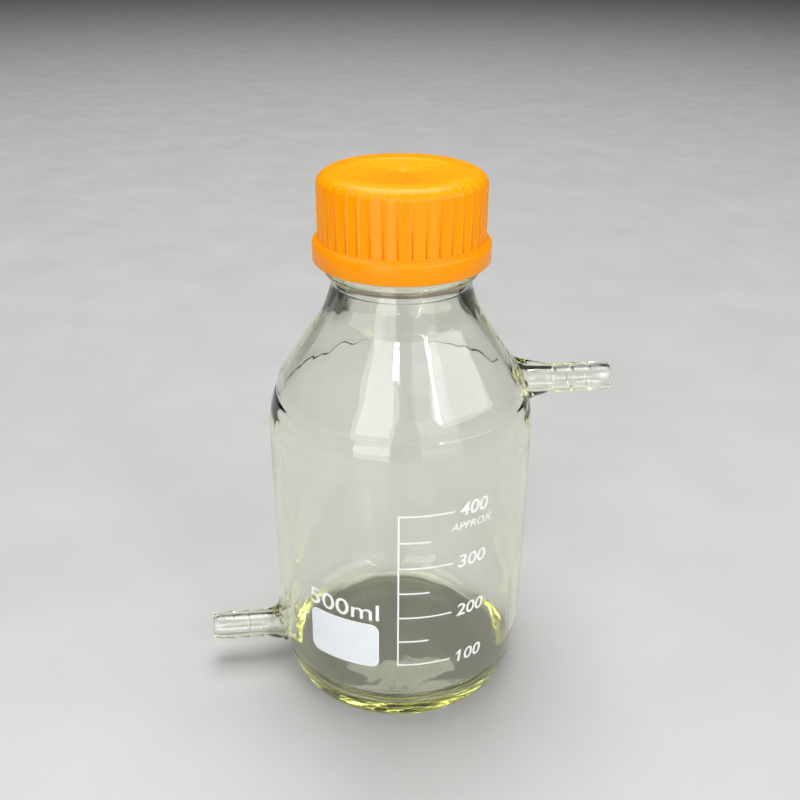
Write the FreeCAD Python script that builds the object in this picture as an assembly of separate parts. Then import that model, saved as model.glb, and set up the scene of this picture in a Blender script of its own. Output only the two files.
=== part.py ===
import FreeCAD, Part
import math
import os

# Wide-neck 500 ml laboratory bottle in borosilicate glass. One hose barb is fused to its
# shoulder, another low on the opposite side, and a ribbed screw cap closes it on a soft seal.
# The origin is the centre of the foot and +Z is up. The upper barb points along +X, the lower
# one along -X, and the side for the printed scale faces -Y. All sizes are in millimetres.

# Body
BODY_RADIUS = 43.4
BODY_WALL = 2.5
HEEL_HEIGHT = 16.0
HEEL_ROUNDING = 35.0
HEEL_INSET = 4.9
FOOT_ROUNDING = 1.2
FOOT_WIDTH = 3.0
PUSH_UP = 3.0
FLOOR_THICKNESS = 4.0
FLOOR_RISE = 1.6
INNER_HEEL_RADIUS = 7.5

# Shoulder, measured from the mould crease that runs round the foot of the shoulder
CREASE_HEIGHT = 107.8
CREASE_DEPTH = 0.3
CREASE_ROUNDING = 1.2
BODY_TOP_DROP = 8.1
BODY_TOP_RADIUS = 20.0
SHOULDER_FOOT_RISE = 3.95
SHOULDER_FOOT_INSET = 3.6
SHOULDER_ROUNDING = 6.0
SHOULDER_HEIGHT = 31.6
SHOULDER_WALL = 2.2
INNER_BODY_TOP_RADIUS = 24.0
INNER_SHOULDER_ROUNDING = 10.0

# Neck, from the shoulder up
COLLAR_RADIUS = 21.5
COLLAR_HEIGHT = 6.7
COLLAR_SWEEP = 20.0
BEAD_PROJECTION = 2.7
BEAD_HEIGHT = 4.0
BEAD_ROUNDING = 1.8
BEAD_FOOT_ROUNDING = 0.5
NECK_RADIUS = 20.9
NECK_HEIGHT = 23.7
BORE_RADIUS = 16.5
BORE_SWEEP = 14.0
RIM_OUTER_ROUNDING = 1.5
RIM_INNER_ROUNDING = 1.0

# Hose barbs
BARB_TIP_REACH = 70.0
BARB_COUNT = 3
BARB_PITCH = 6.0
BARB_TIP_LENGTH = 7.0
BARB_CREST_RADIUS = 4.95
BARB_VALLEY_RADIUS = 4.4
BARB_STEP_LENGTH = 0.25
BARB_TAPER_LENGTH = 3.6
BARB_BORE_RADIUS = 3.0
BARB_EDGE_ROUNDING = 0.4
BARB_TIP_ROUNDING = 0.7
BARB_ROOT_RADIUS = 5.7
BARB_ROOT_LENGTH = 2.4
BARB_ROOT_SWEEP = 14.0
BARB_ROOT_FLARE = 3.5
BARB_MOUTH_FLARE = 1.8
UPPER_BARB_HEIGHT = CREASE_HEIGHT
LOWER_BARB_HEIGHT = 12.6

# Cap and seal
SEAL_THICKNESS = 2.0
SEAL_CLEARANCE = 0.4
SEAL_ROUNDING = 0.3
CAP_BEAD_CLEARANCE = 0.85
CAP_SKIRT_CLEARANCE = 2.2
CAP_WALL = 2.45
CAP_TOP_THICKNESS = 2.0
CAP_EDGE_ROUNDING = 3.0
CAP_BAND_HEIGHT = 7.0
CAP_BAND_PROJECTION = 1.95
CAP_BAND_ROUNDING = 1.5
CAP_FOOT_ROUNDING = 0.5
CAP_RELIEF_DEPTH = 1.4
CAP_RELIEF_HEIGHT = 3.5
RIB_COUNT = 40
RIB_HEIGHT = 0.45
RIB_BASE_SHARE = 0.44
RIB_TOP_SHARE = 0.14
RIB_TOP_DROP = 0.6
RIB_TOP_ROUNDING = 3.4
LIP_PROJECTION = 0.9
LIP_HEIGHT = 0.9
LIP_CLEARANCE = 0.3
RECESS_MARGIN = 10.0
RECESS_DEPTH = 0.3
GATE_DIMPLE_RADIUS = 2.0
GATE_DIMPLE_DEPTH = 0.5
GATE_NUB_RADIUS = 0.7
GATE_NUB_HEIGHT = 0.45

# How far a cutting or joining tool runs past the face that it meets
OVERRUN = 2.0
# How closely a point has to lie on a surface to count as on it
ON_SURFACE = 0.01
# Shortest straight run that is still drawn between two roundings
SHORTEST_RUN = 0.001
# Points along an edge at which its place is tested
EDGE_SAMPLES = 12

# Heights and radii that follow from the driving dimensions
BODY_TOP = CREASE_HEIGHT - BODY_TOP_DROP
COLLAR_FOOT = CREASE_HEIGHT + SHOULDER_HEIGHT
BEAD_FOOT = COLLAR_FOOT + COLLAR_HEIGHT
NECK_FOOT = BEAD_FOOT + BEAD_HEIGHT
RIM_HEIGHT = NECK_FOOT + NECK_HEIGHT
CAVITY_RADIUS = BODY_RADIUS - BODY_WALL
FLOOR_HEIGHT = PUSH_UP + FLOOR_THICKNESS
FOOT_RADIUS = BODY_RADIUS - HEEL_INSET
FOOT_INNER_RADIUS = FOOT_RADIUS - FOOT_ROUNDING - FOOT_WIDTH
BRANCH_START = FOOT_INNER_RADIUS
CAP_FOOT = NECK_FOOT + CAP_BEAD_CLEARANCE
CAP_CEILING = RIM_HEIGHT + SEAL_THICKNESS
CAP_TOP = CAP_CEILING + CAP_TOP_THICKNESS
CAP_BAND_TOP = CAP_FOOT + CAP_BAND_HEIGHT
CAP_INNER_RADIUS = NECK_RADIUS + CAP_SKIRT_CLEARANCE
CAP_VALLEY_RADIUS = CAP_INNER_RADIUS + CAP_WALL
CAP_RIB_RADIUS = CAP_VALLEY_RADIUS + RIB_HEIGHT
CAP_BAND_RADIUS = CAP_VALLEY_RADIUS + CAP_BAND_PROJECTION


def corner_reaches(points, radii):
    """How far each rounding runs from its corner, limited by the runs on both sides."""
    count = len(points)
    wanted = []
    for i in range(count):
        back = points[i - 1] - points[i]
        ahead = points[(i + 1) % count] - points[i]
        half_angle = back.getAngle(ahead) / 2
        wanted.append(radii[i] / math.tan(half_angle) if radii[i] else 0.0)
    reaches = list(wanted)
    for i in range(count):
        j = (i + 1) % count
        run = (points[j] - points[i]).Length
        both = wanted[i] + wanted[j]
        if both > run:
            reaches[i] = min(reaches[i], wanted[i] * run / both)
            reaches[j] = min(reaches[j], wanted[j] * run / both)
    return reaches


def rounded_face(outline):
    """Face inside a closed outline in the XZ plane, of (x, z, corner radius) vertices."""
    points = [FreeCAD.Vector(x, 0, z) for x, z, radius in outline]
    reaches = corner_reaches(points, [radius for x, z, radius in outline])
    corners = []
    for i, (point, reach) in enumerate(zip(points, reaches)):
        back = (points[i - 1] - point).normalize()
        ahead = (points[(i + 1) % len(points)] - point).normalize()
        half_angle = back.getAngle(ahead) / 2
        start = point + back * reach
        end = point + ahead * reach
        depth = reach / math.cos(half_angle) - reach * math.tan(half_angle)
        middle = point + (back + ahead).normalize() * depth if reach else point
        corners.append((start, middle, end))
    edges = []
    for i, (start, middle, end) in enumerate(corners):
        if (end - start).Length > ON_SURFACE:
            edges.append(Part.Arc(start, middle, end).toShape())
        following = corners[(i + 1) % len(corners)][0]
        if (following - end).Length > SHORTEST_RUN:
            edges.append(Part.LineSegment(end, following).toShape())
    return Part.Face(Part.Wire(edges))


def turned(outline):
    """Solid made by turning an outline of (radius, height, corner radius) about Z."""
    face = rounded_face(outline)
    return face.revolve(FreeCAD.Vector(0, 0, 0), FreeCAD.Vector(0, 0, 1), 360)


def dome(foot_radius, foot_height, rise):
    """Ball whose top stands a given rise above a circle of the foot radius."""
    radius = (foot_radius**2 + rise**2) / (2 * rise)
    centre = FreeCAD.Vector(0, 0, foot_height + rise - radius)
    return Part.makeSphere(radius, centre)


def edges_where(solid, holds):
    """Edges of a solid whose every sampled point passes a test."""
    drawn = [edge for edge in solid.Edges if not edge.Degenerated]
    return [edge for edge in drawn if all(holds(p) for p in edge.discretize(EDGE_SAMPLES))]


def junction_edges(solid, height, radius):
    """Edges where a round branch along X, at a height, leaves the body."""

    def on_branch(p):
        off_axis = math.hypot(p.y, p.z - height)
        return abs(off_axis - radius) < ON_SURFACE and abs(p.x) < BODY_RADIUS - ON_SURFACE

    return edges_where(solid, on_branch)


def shoulder_corners():
    """Outer corners of the shoulder: top of the wall, foot of the cone, foot of the collar."""
    cone_foot = FreeCAD.Vector(
        BODY_RADIUS - SHOULDER_FOOT_INSET, 0, CREASE_HEIGHT + SHOULDER_FOOT_RISE
    )
    wall_top = FreeCAD.Vector(BODY_RADIUS, 0, BODY_TOP)
    collar_foot = FreeCAD.Vector(COLLAR_RADIUS, 0, COLLAR_FOOT)
    return wall_top, cone_foot, collar_foot


def bottle_form():
    """Outside of the blown bottle without its barbs, as a full solid."""
    wall_top, cone_foot, collar_foot = shoulder_corners()
    bead_radius = COLLAR_RADIUS + BEAD_PROJECTION
    return turned(
        [
            (0, 0, 0),
            (FOOT_RADIUS, 0, FOOT_ROUNDING),
            (BODY_RADIUS, HEEL_HEIGHT, HEEL_ROUNDING),
            (wall_top.x, wall_top.z, BODY_TOP_RADIUS),
            (cone_foot.x, cone_foot.z, SHOULDER_ROUNDING),
            (collar_foot.x, collar_foot.z, COLLAR_SWEEP),
            (COLLAR_RADIUS, BEAD_FOOT, BEAD_FOOT_ROUNDING),
            (bead_radius, BEAD_FOOT, BEAD_ROUNDING),
            (bead_radius, NECK_FOOT, BEAD_ROUNDING),
            (NECK_RADIUS, NECK_FOOT, RIM_INNER_ROUNDING),
            (NECK_RADIUS, RIM_HEIGHT, RIM_OUTER_ROUNDING),
            (0, RIM_HEIGHT, 0),
        ]
    )


def crease_ring():
    """Ring that cuts the mould crease, open where the upper barb's root spreads."""
    wall_top, cone_foot, collar_foot = shoulder_corners()
    share = BODY_TOP_DROP / (BODY_TOP_DROP + SHOULDER_FOOT_RISE)
    wall = wall_top.x + (cone_foot.x - wall_top.x) * share
    centre = FreeCAD.Vector(wall - CREASE_DEPTH + CREASE_ROUNDING, 0, CREASE_HEIGHT)
    circle = Part.Circle(centre, FreeCAD.Vector(0, 1, 0), CREASE_ROUNDING)
    section = Part.Face(Part.Wire(circle.toShape()))
    spread = BARB_ROOT_RADIUS + BARB_ROOT_FLARE + OVERRUN
    gap = math.degrees(math.asin(spread / BODY_RADIUS))
    axis = FreeCAD.Vector(0, 0, 1)
    section.rotate(FreeCAD.Vector(0, 0, 0), axis, gap)
    return section.revolve(FreeCAD.Vector(0, 0, 0), axis, 360 - 2 * gap)


def barb_form():
    """Outside of one hose barb along +X, at height zero, starting inside the body."""
    root_end = BODY_RADIUS + BARB_ROOT_LENGTH
    first_step = BARB_TIP_REACH - BARB_TIP_LENGTH - (BARB_COUNT - 1) * BARB_PITCH
    outline = [
        (BRANCH_START, 0, 0),
        (BRANCH_START, BARB_ROOT_RADIUS, 0),
        (root_end, BARB_ROOT_RADIUS, BARB_ROOT_SWEEP),
    ]
    for i in range(BARB_COUNT):
        step = first_step + i * BARB_PITCH
        outline.append((step - BARB_STEP_LENGTH, BARB_VALLEY_RADIUS, BARB_EDGE_ROUNDING))
        outline.append((step, BARB_CREST_RADIUS, BARB_EDGE_ROUNDING))
    tip_start = BARB_TIP_REACH - BARB_TIP_LENGTH + BARB_TAPER_LENGTH
    outline.append((tip_start, BARB_VALLEY_RADIUS, BARB_EDGE_ROUNDING))
    outline.append((BARB_TIP_REACH, BARB_VALLEY_RADIUS, BARB_TIP_ROUNDING))
    outline.append((BARB_TIP_REACH, 0, 0))
    return rounded_face(outline).revolve(
        FreeCAD.Vector(0, 0, 0), FreeCAD.Vector(1, 0, 0), 360
    )


def placed_barbs(along_x):
    """The upper and lower copies of a shape that lies along +X at height zero."""
    upper = along_x.copy()
    upper.translate(FreeCAD.Vector(0, 0, UPPER_BARB_HEIGHT))
    lower = along_x.copy()
    lower.rotate(FreeCAD.Vector(0, 0, 0), FreeCAD.Vector(0, 0, 1), 180)
    lower.translate(FreeCAD.Vector(0, 0, LOWER_BARB_HEIGHT))
    return upper, lower


def flared(solid, radius, flare):
    """A solid with the junctions of both branches rounded."""
    for height in (UPPER_BARB_HEIGHT, LOWER_BARB_HEIGHT):
        edges = junction_edges(solid, height, radius)
        solid = solid.makeFillet(flare, edges)
    return solid


def cavity_form():
    """Space inside the bottle, up through the neck, with the bores of both barbs."""
    wall_top, cone_foot, collar_foot = shoulder_corners()
    slant = (collar_foot - cone_foot).normalize()
    wall_lean = (cone_foot - wall_top).normalize()
    slant_normal = FreeCAD.Vector(slant.z, 0, -slant.x)
    lean_normal = FreeCAD.Vector(wall_lean.z, 0, -wall_lean.x)
    both = slant_normal + lean_normal
    shift = both * (SHOULDER_WALL / (1 + slant_normal.dot(lean_normal)))
    inner_foot = cone_foot - shift
    bore_foot = inner_foot + slant * ((inner_foot.x - BORE_RADIUS) / -slant.x)
    floor_edge = FLOOR_HEIGHT - FLOOR_RISE
    space = turned(
        [
            (0, floor_edge, 0),
            (CAVITY_RADIUS, floor_edge, INNER_HEEL_RADIUS),
            (CAVITY_RADIUS, BODY_TOP, INNER_BODY_TOP_RADIUS),
            (inner_foot.x, inner_foot.z, INNER_SHOULDER_ROUNDING),
            (bore_foot.x, bore_foot.z, BORE_SWEEP),
            (BORE_RADIUS, RIM_HEIGHT + OVERRUN, 0),
            (0, RIM_HEIGHT + OVERRUN, 0),
        ]
    )
    space = space.cut(dome(CAVITY_RADIUS - INNER_HEEL_RADIUS, floor_edge, FLOOR_RISE))
    bore = Part.makeCylinder(
        BARB_BORE_RADIUS,
        BARB_TIP_REACH + OVERRUN - BRANCH_START,
        FreeCAD.Vector(BRANCH_START, 0, 0),
        FreeCAD.Vector(1, 0, 0),
    )
    space = space.fuse(list(placed_barbs(bore)))
    return flared(space, BARB_BORE_RADIUS, BARB_MOUTH_FLARE)


def rim_edges(solid):
    """The inner edge of the rim."""

    def on_rim(p):
        off_axis = math.hypot(p.x, p.y)
        return abs(off_axis - BORE_RADIUS) < ON_SURFACE and abs(p.z - RIM_HEIGHT) < ON_SURFACE

    return edges_where(solid, on_rim)


def bottle():
    """The glass bottle with both hose barbs, as one blown and flame-worked piece."""
    glass = bottle_form().fuse(list(placed_barbs(barb_form())))
    glass = flared(glass, BARB_ROOT_RADIUS, BARB_ROOT_FLARE)
    glass = glass.cut(crease_ring())
    glass = glass.cut(dome(FOOT_INNER_RADIUS, 0, PUSH_UP))
    glass = glass.cut(cavity_form())
    return glass.makeFillet(RIM_INNER_ROUNDING, rim_edges(glass))


def cap_shell():
    """Outside of the cap under its ribs, with the sunk top and the moulding gate."""
    recess_height = CAP_TOP - RECESS_DEPTH
    dimple_floor = recess_height - GATE_DIMPLE_DEPTH
    recess_radius = CAP_VALLEY_RADIUS - RECESS_MARGIN
    return turned(
        [
            (0, CAP_FOOT, 0),
            (CAP_BAND_RADIUS, CAP_FOOT, CAP_FOOT_ROUNDING),
            (CAP_BAND_RADIUS, CAP_BAND_TOP, CAP_BAND_ROUNDING),
            (CAP_VALLEY_RADIUS, CAP_BAND_TOP, CAP_FOOT_ROUNDING),
            (CAP_VALLEY_RADIUS, CAP_TOP, CAP_EDGE_ROUNDING),
            (recess_radius + RECESS_DEPTH, CAP_TOP, 0),
            (recess_radius, recess_height, 0),
            (GATE_DIMPLE_RADIUS, recess_height, 0),
            (GATE_DIMPLE_RADIUS - GATE_DIMPLE_DEPTH, dimple_floor, 0),
            (GATE_NUB_RADIUS, dimple_floor, 0),
            (GATE_NUB_RADIUS, dimple_floor + GATE_NUB_HEIGHT, 0),
            (0, dimple_floor + GATE_NUB_HEIGHT, 0),
        ]
    )


def cap_ribs():
    """Wheel of grip ribs, cut to an envelope that lets them die into the rounded top edge."""
    pitch = 2 * math.pi / RIB_COUNT
    root_radius = CAP_VALLEY_RADIUS - RIB_HEIGHT
    points = []
    for i in range(RIB_COUNT):
        centre = i * pitch
        base = pitch * RIB_BASE_SHARE / 2
        top = pitch * RIB_TOP_SHARE / 2
        for radius, angle in (
            (root_radius, centre - base),
            (CAP_RIB_RADIUS, centre - top),
            (CAP_RIB_RADIUS, centre + top),
            (root_radius, centre + base),
        ):
            points.append(
                FreeCAD.Vector(radius * math.cos(angle), radius * math.sin(angle), CAP_FOOT)
            )
    wheel = Part.Face(Part.makePolygon(points + points[:1])).extrude(
        FreeCAD.Vector(0, 0, CAP_TOP - CAP_FOOT)
    )
    rib_foot = CAP_BAND_TOP - CAP_BAND_ROUNDING
    envelope = turned(
        [
            (0, rib_foot, 0),
            (CAP_RIB_RADIUS, rib_foot, 0),
            (CAP_RIB_RADIUS, CAP_TOP - RIB_TOP_DROP, RIB_TOP_ROUNDING),
            (0, CAP_TOP - RIB_TOP_DROP, 0),
        ]
    )
    return wheel.common(envelope)


def cap_space():
    """Space inside the cap, with the relief at its mouth and the lip that holds the seal."""
    relief_radius = CAP_INNER_RADIUS + CAP_RELIEF_DEPTH
    relief_top = CAP_FOOT + CAP_RELIEF_HEIGHT
    lip_top = RIM_HEIGHT - LIP_CLEARANCE
    lip_radius = CAP_INNER_RADIUS - LIP_PROJECTION
    return turned(
        [
            (0, CAP_FOOT - OVERRUN, 0),
            (relief_radius, CAP_FOOT - OVERRUN, 0),
            (relief_radius, relief_top, 0),
            (CAP_INNER_RADIUS, relief_top + CAP_RELIEF_DEPTH, 0),
            (CAP_INNER_RADIUS, lip_top - LIP_HEIGHT, 0),
            (lip_radius, lip_top - LIP_HEIGHT / 2, LIP_CLEARANCE),
            (CAP_INNER_RADIUS, lip_top, 0),
            (CAP_INNER_RADIUS, CAP_CEILING, 0),
            (0, CAP_CEILING, 0),
        ]
    )


def screw_cap():
    """The moulded cap: skirt, grip ribs, plain band and sunk top."""
    return cap_shell().fuse(cap_ribs()).cut(cap_space())


def cap_seal():
    """The soft disc that the cap presses on the rim."""
    radius = CAP_INNER_RADIUS - SEAL_CLEARANCE
    return turned(
        [
            (0, RIM_HEIGHT, 0),
            (radius, RIM_HEIGHT, SEAL_ROUNDING),
            (radius, CAP_CEILING, SEAL_ROUNDING),
            (0, CAP_CEILING, 0),
        ]
    )


def main():
    """Write each sub-part to its own STEP file."""
    os.makedirs("parts", exist_ok=True)
    pieces = {"bottle": bottle(), "screw_cap": screw_cap(), "cap_seal": cap_seal()}
    for name, shape in pieces.items():
        shape.exportStep(os.path.join("parts", name + ".step"))


main()
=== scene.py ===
import logging
import math
from dataclasses import dataclass, field
from enum import Enum
from typing import Any, Sequence

import bmesh
import bpy
import numpy as np
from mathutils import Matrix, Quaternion, Vector, noise


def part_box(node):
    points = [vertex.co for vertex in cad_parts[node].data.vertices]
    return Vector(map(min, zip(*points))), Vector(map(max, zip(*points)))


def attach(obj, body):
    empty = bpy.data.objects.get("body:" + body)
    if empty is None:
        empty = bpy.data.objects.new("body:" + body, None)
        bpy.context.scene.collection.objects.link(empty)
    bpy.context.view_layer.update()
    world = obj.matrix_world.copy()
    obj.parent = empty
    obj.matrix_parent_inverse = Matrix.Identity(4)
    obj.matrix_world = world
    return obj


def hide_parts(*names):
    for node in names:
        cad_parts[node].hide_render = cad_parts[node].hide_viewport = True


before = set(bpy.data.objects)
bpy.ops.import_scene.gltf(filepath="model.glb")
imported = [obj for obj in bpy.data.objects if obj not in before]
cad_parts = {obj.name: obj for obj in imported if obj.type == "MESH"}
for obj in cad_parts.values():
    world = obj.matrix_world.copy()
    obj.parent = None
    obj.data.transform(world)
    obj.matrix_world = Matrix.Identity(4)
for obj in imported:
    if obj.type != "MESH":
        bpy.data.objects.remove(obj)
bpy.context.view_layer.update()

# Looks of a 500 ml laboratory bottle in clear glass with two fused hose barbs and an orange
# screw cap. The parts in model.glb give the main heights, and everything is in metres with +Z up.

log = logging.getLogger("bottle")

MM = 0.001
SEAM = 0.001 * MM

Inputs = dict[str | int, Any]


def srgb(code: str) -> tuple[float, float, float, float]:
    """Turn an sRGB hex colour into linear RGBA.

    Args:
        code: Colour as #RRGGBB.

    Returns:
        The linear red, green, blue and an alpha of one.
    """
    channels = [int(code[i : i + 2], 16) / 255 for i in (1, 3, 5)]
    linear = [c / 12.92 if c <= 0.04045 else ((c + 0.055) / 1.055) ** 2.4 for c in channels]
    return (linear[0], linear[1], linear[2], 1.0)


def smooth_step(values: np.ndarray, start: float, end: float) -> np.ndarray:
    """Rise smoothly from 0 at start to 1 at end, or the other way round.

    Args:
        values: Where to read the step.
        start: Value where it is 0.
        end: Value where it is 1.

    Returns:
        The step's height at each value.
    """
    share = np.clip((values - start) / (end - start), 0.0, 1.0)
    return share * share * (3 - 2 * share)


def add_node(
    tree: bpy.types.NodeTree,
    kind: str,
    inputs: Inputs | None = None,
    settings: dict[str, Any] | None = None,
) -> bpy.types.Node:
    """Add a node with its settings, and link or set its inputs.

    Args:
        tree: Tree that takes the node.
        kind: Type name of the node.
        inputs: A socket to link from, or a plain value, for each input by name or number.
        settings: Attributes of the node, such as its operation.

    Returns:
        The new node.
    """
    node = tree.nodes.new(kind)
    for name, value in (settings or {}).items():
        setattr(node, name, value)
    for key, value in (inputs or {}).items():
        if isinstance(value, bpy.types.NodeSocket):
            tree.links.new(value, node.inputs[key])
        else:
            node.inputs[key].default_value = value
    return node


class TreeBuilder:
    """A node tree under construction."""

    def __init__(self, tree: bpy.types.NodeTree) -> None:
        """Start with an empty tree."""
        self.tree = tree
        self.tree.nodes.clear()

    def add(
        self, kind: str, inputs: Inputs | None = None, settings: dict[str, Any] | None = None
    ) -> bpy.types.NodeSocket:
        """Add a node and give its first output."""
        return add_node(self.tree, kind, inputs, settings).outputs[0]


def point_outwards(mesh: bpy.types.Mesh) -> None:
    """Close a mesh's seams and turn its faces outwards.

    Args:
        mesh: Mesh to mend in place.
    """
    work = bmesh.new()
    work.from_mesh(mesh)
    bmesh.ops.remove_doubles(work, verts=work.verts, dist=SEAM)
    bmesh.ops.recalc_face_normals(work, faces=work.faces)
    work.to_mesh(mesh)
    work.free()
    mesh.update()


def raise_shape(
    work: bmesh.types.BMesh, corners: Sequence[tuple[float, float]], thickness: float
) -> None:
    """Add a flat shape to a mesh and give it a thickness.

    Args:
        work: Mesh that takes the shape.
        corners: Corners of the shape in order, as (across, up).
        thickness: Height of the shape.
    """
    face = work.faces.new([work.verts.new((x, y, 0.0)) for x, y in corners])
    raised = bmesh.ops.extrude_face_region(work, geom=[face])
    tops = [v for v in raised["geom"] if isinstance(v, bmesh.types.BMVert)]
    bmesh.ops.translate(work, verts=tops, vec=(0, 0, thickness))


def placed(name: str, data: bpy.types.ID) -> bpy.types.Object:
    """Put a mesh, letters, a light or a camera into the scene as an object at the origin."""
    piece = bpy.data.objects.new(name, data)
    bpy.context.scene.collection.objects.link(piece)
    return piece


def report(piece: bpy.types.Object) -> None:
    """Log a finished piece with its face count."""
    log.info("%s: %d faces", piece.name, len(piece.data.polygons))


# Outlines


@dataclass(frozen=True)
class Corner:
    """A corner of an outline: its distance from the axis, its place along it, its rounding."""

    radius: float
    along: float
    rounding: float = 0.0


def rounded_line(corners: Sequence[Corner], arc_step: float = math.radians(5)) -> np.ndarray:
    """Draw an open outline with its inner corners rounded.

    Args:
        corners: Corners in order. The two ends stay sharp.
        arc_step: Largest turn between two points of an arc.

    Returns:
        Points of the outline as rows of (radius, along).
    """
    points = [np.array((c.radius, c.along)) for c in corners]
    reaches = [0.0] * len(points)
    turns = [0.0] * len(points)
    for i in range(1, len(points) - 1):
        back = points[i - 1] - points[i]
        ahead = points[i + 1] - points[i]
        cosine = back @ ahead / (np.linalg.norm(back) * np.linalg.norm(ahead))
        turns[i] = math.pi - math.acos(max(-1.0, min(1.0, cosine)))
        reaches[i] = corners[i].rounding * math.tan(turns[i] / 2)
    wanted = list(reaches)
    for i in range(len(points) - 1):
        run = float(np.linalg.norm(points[i + 1] - points[i]))
        both = wanted[i] + wanted[i + 1]
        if both > run:
            reaches[i] = min(reaches[i], wanted[i] * run / both)
            reaches[i + 1] = min(reaches[i + 1], wanted[i + 1] * run / both)
    line = [points[0]]
    for i in range(1, len(points) - 1):
        if reaches[i] == 0.0:
            line.append(points[i])
            continue
        back = points[i - 1] - points[i]
        ahead = points[i + 1] - points[i]
        start = points[i] + back / np.linalg.norm(back) * reaches[i]
        end = points[i] + ahead / np.linalg.norm(ahead) * reaches[i]
        steps = max(2, math.ceil(turns[i] / arc_step))
        for k in range(steps + 1):
            angle = turns[i] * k / steps
            first = math.sin(turns[i] / 2 - angle / 2) * math.cos(angle / 2)
            last = math.sin(angle / 2) * math.cos(turns[i] / 2 - angle / 2)
            middle = math.sin(angle / 2) * math.sin(turns[i] / 2 - angle / 2)
            middle *= 2 * math.cos(turns[i] / 2)
            whole = first + last + middle
            line.append((start * first + points[i] * middle + end * last) / whole)
    line.append(points[-1])
    return np.array(line)


def dome_corners(foot_radius: float, foot: float, rise: float, steps: int) -> list[Corner]:
    """Corners of a shallow dome from its crown down to just above its foot.

    Args:
        foot_radius: Radius of the dome's foot.
        foot: Height of its foot.
        rise: How far its crown stands above its foot.
        steps: Runs between the crown and the foot.

    Returns:
        The corners, without the one at the foot.
    """
    ball = (foot_radius**2 + rise**2) / (2 * rise)
    span = math.asin(foot_radius / ball)
    centre = foot + rise - ball
    angles = [span * k / steps for k in range(steps)]
    return [Corner(ball * math.sin(a), centre + ball * math.cos(a)) for a in angles]


@dataclass(frozen=True)
class Run:
    """A run of an outline that ends at a height, cut into even cells."""

    end: float
    cells: int


def cut_into_runs(line: np.ndarray, start: int, runs: Sequence[Run]) -> np.ndarray:
    """Cut an outline into even cells, run by run.

    Args:
        line: Points of the outline.
        start: Point after which the heights only rise or only fall.
        runs: The runs in order. The last one ends at the outline's end.

    Returns:
        Points where the cells meet.
    """
    steps = np.linalg.norm(np.diff(line, axis=0), axis=1)
    reach = np.concatenate(([0.0], np.cumsum(steps)))
    heights = line[start:, 1]
    way = 1 if heights[-1] >= heights[0] else -1
    places = [0.0]
    for k, run in enumerate(runs):
        last = k == len(runs) - 1
        end = reach[-1] if last else np.interp(way * run.end, way * heights, reach[start:])
        places.extend(np.linspace(places[-1], end, run.cells + 1)[1:])
    return np.stack([np.interp(places, reach, line[:, c]) for c in (0, 1)], axis=1)


# Geometry Nodes


class Socket(Enum):
    """Kinds of input that the trees take."""

    GEOMETRY = "NodeSocketGeometry"
    LENGTH = "NodeSocketFloat"
    COUNT = "NodeSocketInt"
    MATERIAL = "NodeSocketMaterial"


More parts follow.
